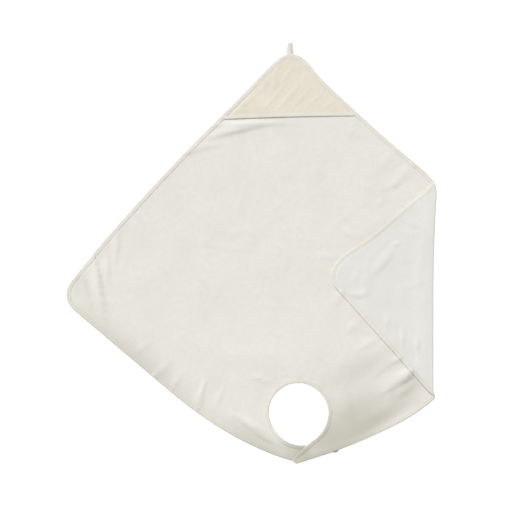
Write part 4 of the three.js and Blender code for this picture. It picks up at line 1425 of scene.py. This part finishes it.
@dataclass
class Tape:
    """Bias tape folded round an edge, as a strip of cloth, and its stitches. Sizes are in mm.

    `middle` is the height of the middle of what it binds. Its crown swells and sinks by `swell`
    and its own edge wanders by `wander`. Painted shade darkens its outer roll where it lies low.
    """

    plan: Plan
    laying: Laying
    step: float = 2.6
    thickness: float = 0.75
    middle: float = 1.8
    stitch_depth: float = 10.3
    swell: float = 0.16
    wander: float = 0.35
    # how dark the painted shade on the outer roll is
    roll_shade: float = 0.35

    # Depth from the edge, and distance of the outer skin from the middle of the cloth: a full
    # roll at the edge, a groove where the stitches pull, and a small lip at the tape's own edge.
    PROFILE = (
        (0.25, 0.8), (1.0, 1.18), (2.3, 1.42), (4.2, 1.53), (6.5, 1.53), (8.6, 1.45),
        (10.3, 1.35), (11.2, 1.32), (11.8, 1.28), (12.0, 1.14),
    )
    ROLL_SHADE_REACH = (0.8, 3.2)  # distances from the very edge between which the painted shade on the roll fades
    TIP_GAP = 0.05  # how far from each strap's tip it ends
    LEAST_STEP = 0.4  # between two stations
    PROUD = 0.06  # how far a stitch's path lies above the groove
    LOWEST = 0.02  # least height over the floor
    FRAY = 0.1  # how much less far the inner skin reaches than the outer one

    def skins(self) -> tuple[np.ndarray, np.ndarray]:
        """Works out the folded tape's outer and inner skins, as depth and height.

        The inner skin is the outer one moved in by the tape's thickness, square to itself.

        Returns:
            Two rows of points, from the lower leg's edge round to the upper leg's.
        """
        depth, out = np.array(self.PROFILE).T
        outer = np.concatenate([
            np.stack([depth, self.middle - out], axis=1)[::-1],
            [[0.0, self.middle]],
            np.stack([depth, self.middle + out], axis=1),
        ])
        way = np.gradient(outer, axis=0)
        way /= np.linalg.norm(way, axis=1, keepdims=True)
        inner = outer + self.thickness * np.stack([-way[:, 1], way[:, 0]], axis=1)
        inner[[0, -1], 0] = outer[[0, -1], 0] - self.FRAY
        inner[:, 0] = np.maximum(inner[:, 0], 0.0)
        return outer, inner

    def line(self, edges: dict[Hand, Edge]) -> tuple[Edge, np.ndarray]:
        """Strings the left and the right edge together, from the left strap's tip to the right's.

        Args:
            edges: Both halves' edges, each from its highest point to its strap's tip.

        Returns:
            The stations, whose lengths are negative on the left half, and which of them belong to
            the right half.
        """
        parts = {}
        for hand, edge in edges.items():
            end = edge.length[-1] - self.TIP_GAP
            even = np.arange(0.0, end, self.step)
            near_fold = edge.length[np.abs(edge.base[:, 0] - FOLD_X - BEND / 2) < BEND]
            lengths = np.unique(np.concatenate([even, near_fold, [end]]))
            lengths = lengths[np.concatenate([[True], np.diff(lengths) > self.LEAST_STEP])]
            parts[hand] = edge.at(lengths)
        left, right = parts[Hand.LEFT], parts[Hand.RIGHT]
        base = np.concatenate([left.base[::-1], right.base[1:]])
        rib = np.concatenate([left.rib[::-1], right.rib[1:]])
        running = np.concatenate([-left.length[::-1], right.length[1:]])
        return Edge(base, rib, running), running > 0.0

    def place(
        self, line: Edge, right: np.ndarray, depth: np.ndarray, height: np.ndarray
    ) -> np.ndarray:
        """Lays out points of the tape.

        Args:
            line: The stations.
            right: Which of them belong to the right half.
            depth: For each station a row of depths, in mm.
            height: The same of heights.

        Returns:
            Points of the laid-out apron, in mm.
        """
        plane = line.base[:, None] + line.rib[:, None] * depth[..., None]
        laid = {hand: self.laying.lay(plane, height, hand) for hand in Hand}
        return np.where(right[:, None, None], laid[Hand.RIGHT], laid[Hand.LEFT])

    def rise(self, running: np.ndarray) -> np.ndarray:
        """Gives how far the upper leg is lifted, which is nothing on a plain edge."""
        return np.zeros_like(running)

    def build(
        self, name: str, edges: dict[Hand, Edge], inward: bool, material: bpy.types.Material
    ) -> bpy.types.Object:
        """Builds the tape along an edge.

        Each station's section is the two skins. Noise 8 mm wide makes the tape's crown swell, and
        noise 26 mm wide makes its own edge wander. The rise lifts its upper leg.

        Args:
            name: The piece's name.
            edges: Both halves' edges.
            inward: True if the sections run with the faces turned round.
            material: The finish.

        Returns:
            The piece.
        """
        line, right = self.line(edges)
        running = line.length
        outer, inner = self.skins()
        skin = np.concatenate([outer, inner[::-1]])
        depth = np.broadcast_to(skin[:, 0], (len(running), len(skin))).copy()
        height = np.broadcast_to(skin[:, 1], depth.shape).copy()
        away = (height - self.middle) / self.middle
        swell = self.swell * soft_noise(running[:, None] + 0 * depth, depth * 0.8, 8.0, 31)
        height += away * swell * smoothstep(depth, 0.5, 4.0)
        wander = self.wander * soft_noise(running, 0 * running, 26.0, 33)
        depth += wander[:, None] * smoothstep(depth, 6.0, TAPE_WIDTH)
        height += self.rise(running)[:, None] * smoothstep(height, 0.6, 2.9)
        points = self.place(line, right, depth, np.maximum(height, self.LOWEST))
        flat = np.stack([running[:, None] + 0 * depth, depth + np.sign(away) * TAPE_WIDTH], axis=-1)
        shape = loft(points, flat, inward)
        x, y, z = shape.points.T
        # Painted shade: the outer roll is coloured darker, except on the folded-over corner, and the
        # swaths' painted shade is added.
        rolled = 1.0 - smoothstep(np.abs(np.abs(shape.flat[:, 1]) - TAPE_WIDTH), *self.ROLL_SHADE_REACH)
        roll_shaded = self.roll_shade * rolled * (z < 2.0 * FOLD_REST + CLOTH / 2)
        shape.shade_share = np.clip(roll_shaded + self.laying.painted_shade(x, y), 0.0, 1.0)
        return shape.piece(name, [material])

    def stitches(
        self, name: str, edges: dict[Hand, Edge], material: bpy.types.Material
    ) -> bpy.types.Object:
        """Builds the tape's seam: on its upper leg, and on its lower one where the fold shows it.

        Args:
            name: The piece's name.
            edges: Both halves' edges.
            material: The thread.

        Returns:
            The piece.
        """
        line, right = self.line(edges)
        depth = np.full((len(right), 1), self.stitch_depth)
        groove = float(np.interp(self.stitch_depth, *np.array(self.PROFILE).T)) + self.PROUD
        rise = self.rise(line.length)[:, None]
        folded = (line.inside(self.stitch_depth)[:, 0] > FOLD_X + BEND) & right
        runs, everywhere = [], np.ones_like(right)
        for side, lift, shown in ((1.0, rise, everywhere), (-1.0, 0.0 * rise, folded)):
            low, high = (
                self.place(line, right, depth, self.middle + side * out + lift)[shown, 0]
                for out in (groove, groove + 1.0)
            )
            if len(low):
                runs.append(Seam().run(low, high - low))
        shape = Shape.joined(runs)
        # The thread takes the same painted shade.
        shape.shade_share = self.laying.painted_shade(shape.points[:, 0], shape.points[:, 1])
        return shape.piece(name, [material])


@dataclass
class HoodedTape(Tape):
    """The outside edge's tape, whose upper leg climbs over the hood's two side edges.

    `hood_ends` is how far along each half's edge the hood's front edge starts.
    """

    hood_ends: Point = (0.0, 0.0)
    climb: float = 0.55

    def rise(self, running: np.ndarray) -> np.ndarray:
        """Gives the lift over the hood: full beside it, fading over 22 mm past each front end."""
        end = np.where(running > 0.0, self.hood_ends[1], self.hood_ends[0])
        return self.climb * (1.0 - smoothstep(np.abs(running) - end, -6.0, 16.0))


@dataclass
class Seam:
    """A run of single stitches: short threads that arch out of the cloth and dive back in.

    Real stitches here are 2.5 mm long in thread of 0.3 mm. The thread is drawn at 0.5 mm.
    """

    pitch: float = 3.4
    length: float = 2.7
    thickness: float = 0.5

    # For each ring, its share of the length, and its height and radius as shares of the thickness.
    RINGS = ((0.0, -0.5, 0.25), (0.3, 0.22, 0.5), (0.7, 0.22, 0.5), (1.0, -0.5, 0.25))
    TURNS = np.radians([45.0, 135.0, 225.0, 315.0, 405.0])

    def run(self, track: np.ndarray, up: np.ndarray) -> Shape:
        """Builds the stitches along a line.

        A stitch has four square rings. Its ends are half as thick and lie below the surface, and
        its middle lies above it.

        Args:
            track: Points of the line, in mm.
            up: The way out of the cloth at each.

        Returns:
            All the stitches in one surface.
        """
        reach = running_length(track)
        starts = np.arange(self.pitch, reach[-1] - self.pitch, self.pitch)
        share, lift, radius = np.array(self.RINGS).T
        spots = starts[:, None] + share * self.length
        centre, out = sampled(spots, reach, track), sampled(spots, reach, up)
        out /= np.linalg.norm(out, axis=-1, keepdims=True)
        way = np.repeat(centre[:, -1:] - centre[:, :1], len(share), axis=1)
        way /= np.maximum(np.linalg.norm(way, axis=-1, keepdims=True), 1e-6)
        side = np.cross(way, out)[:, :, None]
        centre += out * (lift * self.thickness)[:, None]
        ring = side * np.cos(self.TURNS)[:, None] + out[:, :, None] * np.sin(self.TURNS)[:, None]
        points = centre[:, :, None] + ring * (radius * self.thickness)[:, None, None]
        index = np.arange(len(share) * len(self.TURNS)).reshape(len(share), -1)
        caps = np.stack([index[0, 3::-1], index[-1, :4]])
        block = np.concatenate([neighbours(index), caps])
        faces = (block[None] + index.size * np.arange(len(starts))[:, None, None]).reshape(-1, 4)
        along = np.repeat(spots, len(self.TURNS), axis=1).ravel()
        flat = np.stack([along, np.zeros_like(along)], axis=1)
        return Shape(points.reshape(-1, 3), faces, flat, np.zeros(len(faces), int)).welded()


# ---- Hood -------------------------------------------------------------------------------------


@dataclass
class Hood:
    """The cotton triangle sewn over the top corner, its taped front edge standing a little open.

    The front edge runs between the levels `left_end` and `right_end` and bows up. The cloth lies
    at `low`, and stands open by `lift` and `fullness`, which fade over `rise_from` mm back from
    the edge. At its sides, within `seam` of its width, it is pressed to `pressed` of its
    thickness. `slack` weakens its creases. The tape at its front edge reaches `overhang` mm in
    front of it, and its upper and lower legs are `tape_flat` times as high as a plain tape's.
    Sizes are in mm.
    """

    plan: Plan
    laying: Laying
    left_end: float = 369.5
    right_end: float = 379.5
    bow: float = 2.0
    thickness: float = 1.1
    low: float = CLOTH + NAP
    lift: float = 0.1
    fullness: float = 0.9
    rise_from: float = 90.0
    side_depth: float = 6.5
    seam: float = 0.07
    pressed: float = 0.55
    slack: float = 0.8
    rows: int = 64
    columns: int = 120
    tape_width: float = 9.0
    tape_thickness: float = 0.7
    tape_flat: Point = (0.62, 0.36)
    tape_end: float = 0.012
    overhang: float = 1.3
    stitch_depth: float = 6.9
    stitch_height: float = 1.2

    # Slack creases that slant up to the right, as the cloth lies on the bias, and a swell.
    CREASES = (
        Crease((40.0, 402.0), (96.0, 470.0), 0.6, 8.0, 13.0),
        Crease((70.0, 396.0), (140.0, 474.0), 0.8, 8.0, 14.0),
        Crease((112.0, 400.0), (168.0, 462.0), 0.55, 7.0, 12.0),
        Crease((150.0, 398.0), (196.0, 446.0), 0.5, 7.0, 11.0),
        Crease((-40.0, 396.0), (14.0, 440.0), 0.65, 9.0, 16.0),
        Crease((84.0, 470.0), (118.0, 520.0), 0.5, 8.0, 12.0),
        Crease((-60.0, 392.0), (-8.0, 396.0), 0.7, 10.0, 12.0),
        Crease((190.0, 392.0), (236.0, 428.0), 0.45, 8.0, 10.0),
        Crease((20.0, 440.0), (64.0, 500.0), 0.5, 9.0, 14.0),
        Swell(0.35, 34.0, 41),
    )

    def ends(self) -> Point:
        """Gives how far along each outside edge the hood's front edge starts."""
        return tuple(
            float(self.plan.outer[hand].length_at_level(np.array([level]))[0])
            for hand, level in ((Hand.LEFT, self.left_end), (Hand.RIGHT, self.right_end))
        )

    def plane(self, down: np.ndarray, across: np.ndarray) -> np.ndarray:
        """Works out points of the hood in the plane.

        A point lies `across` of the way from the left edge to the right one, on the row that is
        `down` of the way from the corner to the front edge, which bows up by sin(π·across).

        Args:
            down: Shares from the corner to the front edge.
            across: Shares from left to right.

        Returns:
            The points, in mm.
        """
        top = float(self.plan.outer[Hand.LEFT].inside(self.side_depth)[0, 1])
        sides = []
        for hand, level in ((Hand.LEFT, self.left_end), (Hand.RIGHT, self.right_end)):
            edge = self.plan.outer[hand]
            lengths = edge.length_at_level(blend(top, level, down), self.side_depth)
            sides.append(edge.at(lengths).inside(self.side_depth))
        points = blend(sides[0][:, None], sides[1][:, None], across[None, :, None])
        points[..., 1] += self.bow * np.sin(math.pi * across)[None] * down[:, None]
        return points

    def height(self, plane: np.ndarray, across: np.ndarray, over: float) -> np.ndarray:
        """Works out the hood's height over the panel's reverse.

        The front edge stands open by the lift and, most over its left half, by the fullness
        times sin²(π·√across). Both fade back from the edge and at the seams, where the tape
        presses the cotton flat.

        Args:
            plane: Points of the hood.
            across: Their shares from left to right.
            over: Height over the hood's own lower side.

        Returns:
            Heights in mm.
        """
        front = blend(self.left_end, self.right_end, across)
        back = np.maximum(plane[..., 1] - front, 0.0)
        seam = smoothstep(across, 0.0, self.seam) * smoothstep(1.0 - across, 0.0, self.seam)
        fullness = self.fullness * np.sin(math.pi * np.sqrt(np.clip(across, 0.0, 1.0))) ** 2
        open_by = (self.lift + fullness) * (1.0 - smoothstep(back, 0.0, self.rise_from)) * seam
        slack = self.slack * total(self.CREASES, plane[..., 0], plane[..., 1]) * seam
        return self.low + over * blend(self.pressed, 1.0, seam) + open_by + slack

    def build(self, material: bpy.types.Material) -> bpy.types.Object:
        """Builds the hood as a closed shell with a front and a lining side.

        Args:
            material: The finish.

        Returns:
            The piece.
        """
        down = np.sqrt(np.linspace(0.0, 1.0, self.rows + 1)) ** 1.6
        across = np.linspace(0.0, 1.0, self.columns + 1)
        plane = self.plane(down, across)
        share = np.broadcast_to(across, plane.shape[:2])
        top = self.laying.lay(plane, self.height(plane, share, self.thickness), Hand.LEFT)
        under = self.laying.lay(plane, self.height(plane, share, 0.0), Hand.LEFT)
        sections = np.concatenate([top, under[:, ::-1]], axis=1)
        flat = np.concatenate([plane, plane[:, ::-1]], axis=1)
        return loft(sections, flat, True).piece("hood_cloth", [material])

    def front_line(self, depth: np.ndarray) -> tuple[np.ndarray, np.ndarray, np.ndarray]:
        """Works out lines that run beside the front edge.

        At each side seam the way back from the edge leans with the seam.

        Args:
            depth: Distances behind the front of the overhang, in mm.

        Returns:
            For each station along the edge a row of points in the plane, the points' shares from
            left to right, and the stations' own points on the edge.
        """
        across = np.linspace(self.tape_end, 1.0 - self.tape_end, 2 * self.columns + 1)
        ends = self.plane(np.array([1.0]), across)[0]
        slopes = [1.0 / math.tan(math.radians(FLANKS[hand].heading)) for hand in Hand]
        lean = blend(slopes[0], slopes[1], across)
        rib = np.stack([lean, np.ones_like(lean)], axis=1)
        shift = np.array([0.0, -self.overhang])
        plane = ends[:, None] + shift + rib[:, None] * depth[None, :, None]
        return plane, np.broadcast_to(across[:, None], plane.shape[:2]), ends

    def binding(self, material: bpy.types.Material) -> bpy.types.Object:
        """Builds the tape round the hood's front edge, from one side seam to the other.

        Args:
            material: The finish.

        Returns:
            The piece.
        """
        middle = self.thickness / 2
        tape = Tape(self.plan, self.laying, thickness=self.tape_thickness, middle=middle)
        outer, inner = tape.skins()
        skin = np.concatenate([outer, inner[::-1]])
        depth = skin[:, 0] * self.tape_width / TAPE_WIDTH
        out = skin[:, 1] - middle
        over = out * np.where(out > 0.0, *self.tape_flat) + middle
        plane, across, ends = self.front_line(depth)
        running = np.broadcast_to(ends[:, :1], across.shape)
        over = over * (1.0 + 0.1 * soft_noise(running, over * 3.0, 11.0, 43))
        points = self.laying.lay(plane, self.height(plane, across, 0.0) + over, Hand.LEFT)
        flat = np.stack([running, np.broadcast_to(depth, across.shape)], axis=-1)
        return loft(points, flat, False).piece("hood_edge_binding", [material])

    def stitches(self, material: bpy.types.Material) -> bpy.types.Object:
        """Builds the seam along the front edge's tape.

        Args:
            material: The thread.

        Returns:
            The piece.
        """
        plane, across, _ = self.front_line(np.array([self.stitch_depth]))
        low = self.height(plane, across, self.thickness / 2 + self.stitch_height)
        tracks = [self.laying.lay(plane, low + offset, Hand.LEFT)[:, 0] for offset in (0.0, 1.0)]
        return Seam().run(tracks[0], tracks[1] - tracks[0]).piece("hood_stitching", [material])


# ---- Hanging loop and closure -----------------------------------------------------------------


@dataclass
class HangingLoop:
    """A tape bent back on itself, caught under the binding of the top corner. Sizes are in mm.

    `eye` is the gap inside its bend. It starts with its left edge at `left`, and comes back
    `skew` further left. It narrows to `taper` of its width at the bend, where its edges curl up,
    and its ends reach `tuck` mm under the binding.
    """

    plan: Plan
    width: float = 15.0
    length: float = 32.0
    thickness: float = 1.0
    eye: float = 1.3
    left: float = 96.0
    skew: float = 8.0
    taper: float = 0.75
    tuck: float = 2.0
    flat_length: float = 70.0
    curl: float = 0.9
    wander: float = 0.5
    steps: int = 15
    around: int = 9

    def sections(self) -> tuple[np.ndarray, np.ndarray]:
        """Works out the tape's sections.

        The tape runs out flat, turns over through a half circle and comes back above itself, a
        little to the left. It narrows towards the bend, where its edges curl upwards.

        Returns:
            Sections of two skins, and their places on the flat tape.
        """
        start = self.plan.outer[Hand.LEFT].base[0, 1] + GAP
        radius = (self.eye + self.thickness) / 2
        straight = self.length - radius - self.thickness / 2
        run = np.linspace(0.0, 1.0, self.steps)
        turn = np.concatenate([0 * run[:-1], math.pi * run, 0 * run[1:] + math.pi])
        reach = np.concatenate([run[:-1], np.ones(self.steps), run[::-1][1:]])
        y = start - self.tuck + reach * (straight + self.tuck)
        share = np.linspace(0.0, 1.0, len(turn))
        half = 0.5 * self.width * blend(1.0, self.taper, reach)
        middle = self.left + self.width / 2 + self.skew * (1.0 - share)
        side = np.linspace(-1.0, 1.0, self.around)
        curl = self.curl * reach[:, None] * side**2 * np.where(side > 0, 1.0, 0.6)
        wander = self.wander * soft_noise(share * 90.0, 0 * share, 14.0, 51) * reach
        skins = []
        for face in (-1.0, 1.0):
            edge = 1.0 - 0.35 * np.abs(side) ** 6
            arm = radius + face * self.thickness / 2 * edge - curl
            x = middle[:, None] + side * half[:, None] + wander[:, None]
            z = self.thickness / 2 + radius - arm * np.cos(turn)[:, None]
            skins.append(np.stack([x, y[:, None] + arm * np.sin(turn)[:, None], z], axis=-1))
        along = np.broadcast_to(self.flat_length * share[:, None], x.shape)
        flat = np.stack([along, side * half[:, None]], axis=-1)
        sections = np.concatenate([skins[1], skins[0][:, ::-1]], axis=1)
        return sections, np.concatenate([flat, flat[:, ::-1]], axis=1)

    def build(self, material: bpy.types.Material) -> bpy.types.Object:
        """Builds the loop and dresses it."""
        return loft(*self.sections(), False).piece("loop_tape", [material])


@dataclass
class ClosurePad:
    """A small pad of hook and loop tape between the straps, with round ends and a low pile.

    Its underside lies at `low`, and its middle at `centre` from the neck hole's. Sizes are in mm,
    and `heading` is in degrees. `rings` and `around` count its faces.
    """

    name: str
    low: float
    length: float = 30.0
    width: float = 9.0
    thickness: float = 1.0
    centre: Point = (46.0, -98.6)
    heading: float = 15.0
    rings: int = 5
    around: int = 72

    def build(self, material: bpy.types.Material) -> bpy.types.Object:
        """Builds the pad as rings from the middle of its top, over its edge, to that of its base.

        A ring is a straight-sided oval, scaled by a share r towards its middle, and stands off
        the pad's middle by half the thickness times the fourth root of 1 − 0.9·r⁴.

        Args:
            material: The finish.

        Returns:
            The piece.
        """
        turn = np.linspace(0.0, 2.0 * math.pi, self.around + 1)
        straight = (self.length - self.width) / 2
        outline = np.stack([
            self.width / 2 * np.cos(turn) + straight * np.clip(3.0 * np.cos(turn), -1.0, 1.0),
            self.width / 2 * np.sin(turn),
        ], axis=1)
        share = np.linspace(0.0, 1.0, self.rings + 1)
        share = np.concatenate([share, share[::-1]])
        side = np.repeat([1.0, -1.0], self.rings + 1)
        height = side * self.thickness / 2 * np.sqrt(np.sqrt(np.clip(1.0 - 0.9 * share**4, 0.0, 1.0)))
        plane = outline[None] * share[:, None, None]
        angle = math.radians(self.heading)
        middle = NECK_CENTRE + np.array(self.centre)
        x = middle[0] + plane[..., 0] * math.cos(angle) - plane[..., 1] * math.sin(angle)
        y = middle[1] + plane[..., 0] * math.sin(angle) + plane[..., 1] * math.cos(angle)
        z = np.broadcast_to((self.low + self.thickness / 2 + height)[:, None], x.shape)
        return Shape.grid(np.stack([x, y, z], axis=-1), plane).welded().piece(self.name, [material])


# ---- Studio -----------------------------------------------------------------------------------


@dataclass
class Studio:
    """A white floor, soft light mostly from the upper left, and a camera straight above.

    `view_width` is how wide a stretch of the floor the camera sees, and `middle` is its centre.
    Sizes are in metres, and those of the lens and its sensor in mm.
    """

    view_width: float = 1.3989
    middle: Point = (0.0033, 0.0)
    lens: float = 85.0
    sensor: float = 36.0
    floor_reach: float = 4.0
    floor_drop: float = 0.0004
    floor_glow: float = 0.5
    sky: float = 0.54

    # Azimuth, elevation, width and level of the key light.
    KEY = (125.0, 35.0, 24.0, 0.52)

    def floor(self) -> bpy.types.Object:
        """Builds the floor, a little below the cloth, of matt white paper that glows by itself.

        Returns:
            The floor.
        """
        ways = ((-1.0, -1.0), (1.0, -1.0), (1.0, 1.0), (-1.0, 1.0))
        corners = [(x * self.floor_reach, y * self.floor_reach, -self.floor_drop) for x, y in ways]
        mesh = bpy.data.meshes.new("floor")
        mesh.from_pydata(corners, [], [(0, 1, 2, 3)])
        material = bpy.data.materials.new("white_paper")
        material.use_nodes = True
        shader = material.node_tree.nodes["Principled BSDF"]
        shader.inputs["Base Color"].default_value = linear("#FCFCFC")
        shader.inputs["Roughness"].default_value = 1.0
        shader.inputs["Specular IOR Level"].default_value = 0.0
        shader.inputs["Emission Color"].default_value = linear("#FFFFFF")
        shader.inputs["Emission Strength"].default_value = self.floor_glow
        mesh.materials.append(material)
        floor = bpy.data.objects.new("floor", mesh)
        bpy.context.scene.collection.objects.link(floor)
        return floor

    @staticmethod
    def sun(
        name: str, azimuth: float, elevation: float, width: float, level: float
    ) -> bpy.types.Object:
        """Adds a distant soft light, as from a large window or box, even over the whole apron.

        Args:
            name: Its name.
            azimuth: Degrees round from +X.
            elevation: Degrees above the floor.
            width: Its width as seen from the apron, in degrees.
            level: Brightness that it gives to level white paper, where 1 is full white.

        Returns:
            The light.
        """
        light = bpy.data.lights.new(name, "SUN")
        a, e = math.radians(azimuth), math.radians(elevation)
        light.angle, light.energy = math.radians(width), level * math.pi / math.sin(e)
        sun = bpy.data.objects.new(name, light)
        sun.rotation_euler = (math.pi / 2 - e, 0.0, a + math.pi / 2)
        bpy.context.scene.collection.objects.link(sun)
        return sun

    def camera(self) -> bpy.types.Object:
        """Adds the camera, looking straight down at the whole apron through a long lens.

        Returns:
            The camera.
        """
        data = bpy.data.cameras.new("camera")
        data.lens, data.sensor_width = self.lens, self.sensor
        camera = bpy.data.objects.new("camera", data)
        camera.location = (*self.middle, self.view_width * self.lens / self.sensor)
        bpy.context.scene.collection.objects.link(camera)
        bpy.context.scene.camera = camera
        return camera

    def build(self) -> None:
        """Sets the stage."""
        self.camera()
        self.floor()
        self.sun("key", *self.KEY)
        world = bpy.data.worlds.new("studio")
        world.use_nodes = True
        background = world.node_tree.nodes["Background"]
        background.inputs["Color"].default_value = linear("#FFFFFF")
        background.inputs["Strength"].default_value = self.sky
        scene = bpy.context.scene
        scene.world = world
        scene.view_settings.view_transform = "Standard"


# ---- The whole apron --------------------------------------------------------------------------


@dataclass(frozen=True)
class Role:
    """What a piece stands for: a slot name, which is only logged, and the solids that it hides."""

    slot: str
    nodes: tuple[str, ...] = ()


def place_piece(piece: bpy.types.Object, role: Role) -> bpy.types.Object:
    """Makes a piece ride on the apron's body, in place of its solids, and reports it.

    Args:
        piece: The piece.
        role: What it takes over.

    Returns:
        The same piece.
    """
    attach(piece, "root")
    if role.nodes:
        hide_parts(*role.nodes)
    count = sum(len(face.vertices) - 2 for face in piece.data.polygons)
    LOG.info("%s: %d triangles, slot %s", piece.name, count, role.slot)
    return piece


def main() -> None:
    """Builds the apron's pieces in order, from the towelling outwards, and the studio."""
    logging.basicConfig(level=logging.INFO, format="%(name)s: %(message)s")
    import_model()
    plan, laying, finishes = Plan(), Laying(), Wardrobe()
    panel = place_piece(
        TowelPanel(plan, laying).build(finishes),
        Role("towelling", ("body_panel", "left_strap", "right_strap")),
    )
    hood = Hood(plan, laying)
    hood_cloth = place_piece(hood.build(finishes.hood), Role("hood_cloth", ("hood",)))
    for name, tape, edges, inward in (
        ("edge", HoodedTape(plan, laying, hood_ends=hood.ends()), plan.outer, True),
        ("neck", Tape(plan, laying), plan.neck, False),
    ):
        binding = tape.build(f"{name}_tape", edges, inward, finishes.tape)
        place_piece(binding, Role("bias_tape", (f"{name}_binding",)))
        stitching = tape.stitches(f"{name}_stitching", edges, finishes.thread)
        place_piece(stitching, Role("bias_tape"))
    hood_trims = [
        place_piece(hood.binding(finishes.tape), Role("bias_tape", ("hood_binding",))),
        place_piece(hood.stitches(finishes.thread), Role("bias_tape")),
    ]
    place_piece(HangingLoop(plan).build(finishes.tape), Role("loop_tape", ("hanging_loop",)))
    low = CLOTH + GAP
    for side in ("loop", "hook"):
        pad = ClosurePad(f"{side}_side_pad", low)
        place_piece(pad.build(finishes.pad), Role("closure_pad", (f"{side}_pad",)))
        low += pad.thickness + GAP
    Studio().build()


if __name__ == "__main__":
    main()
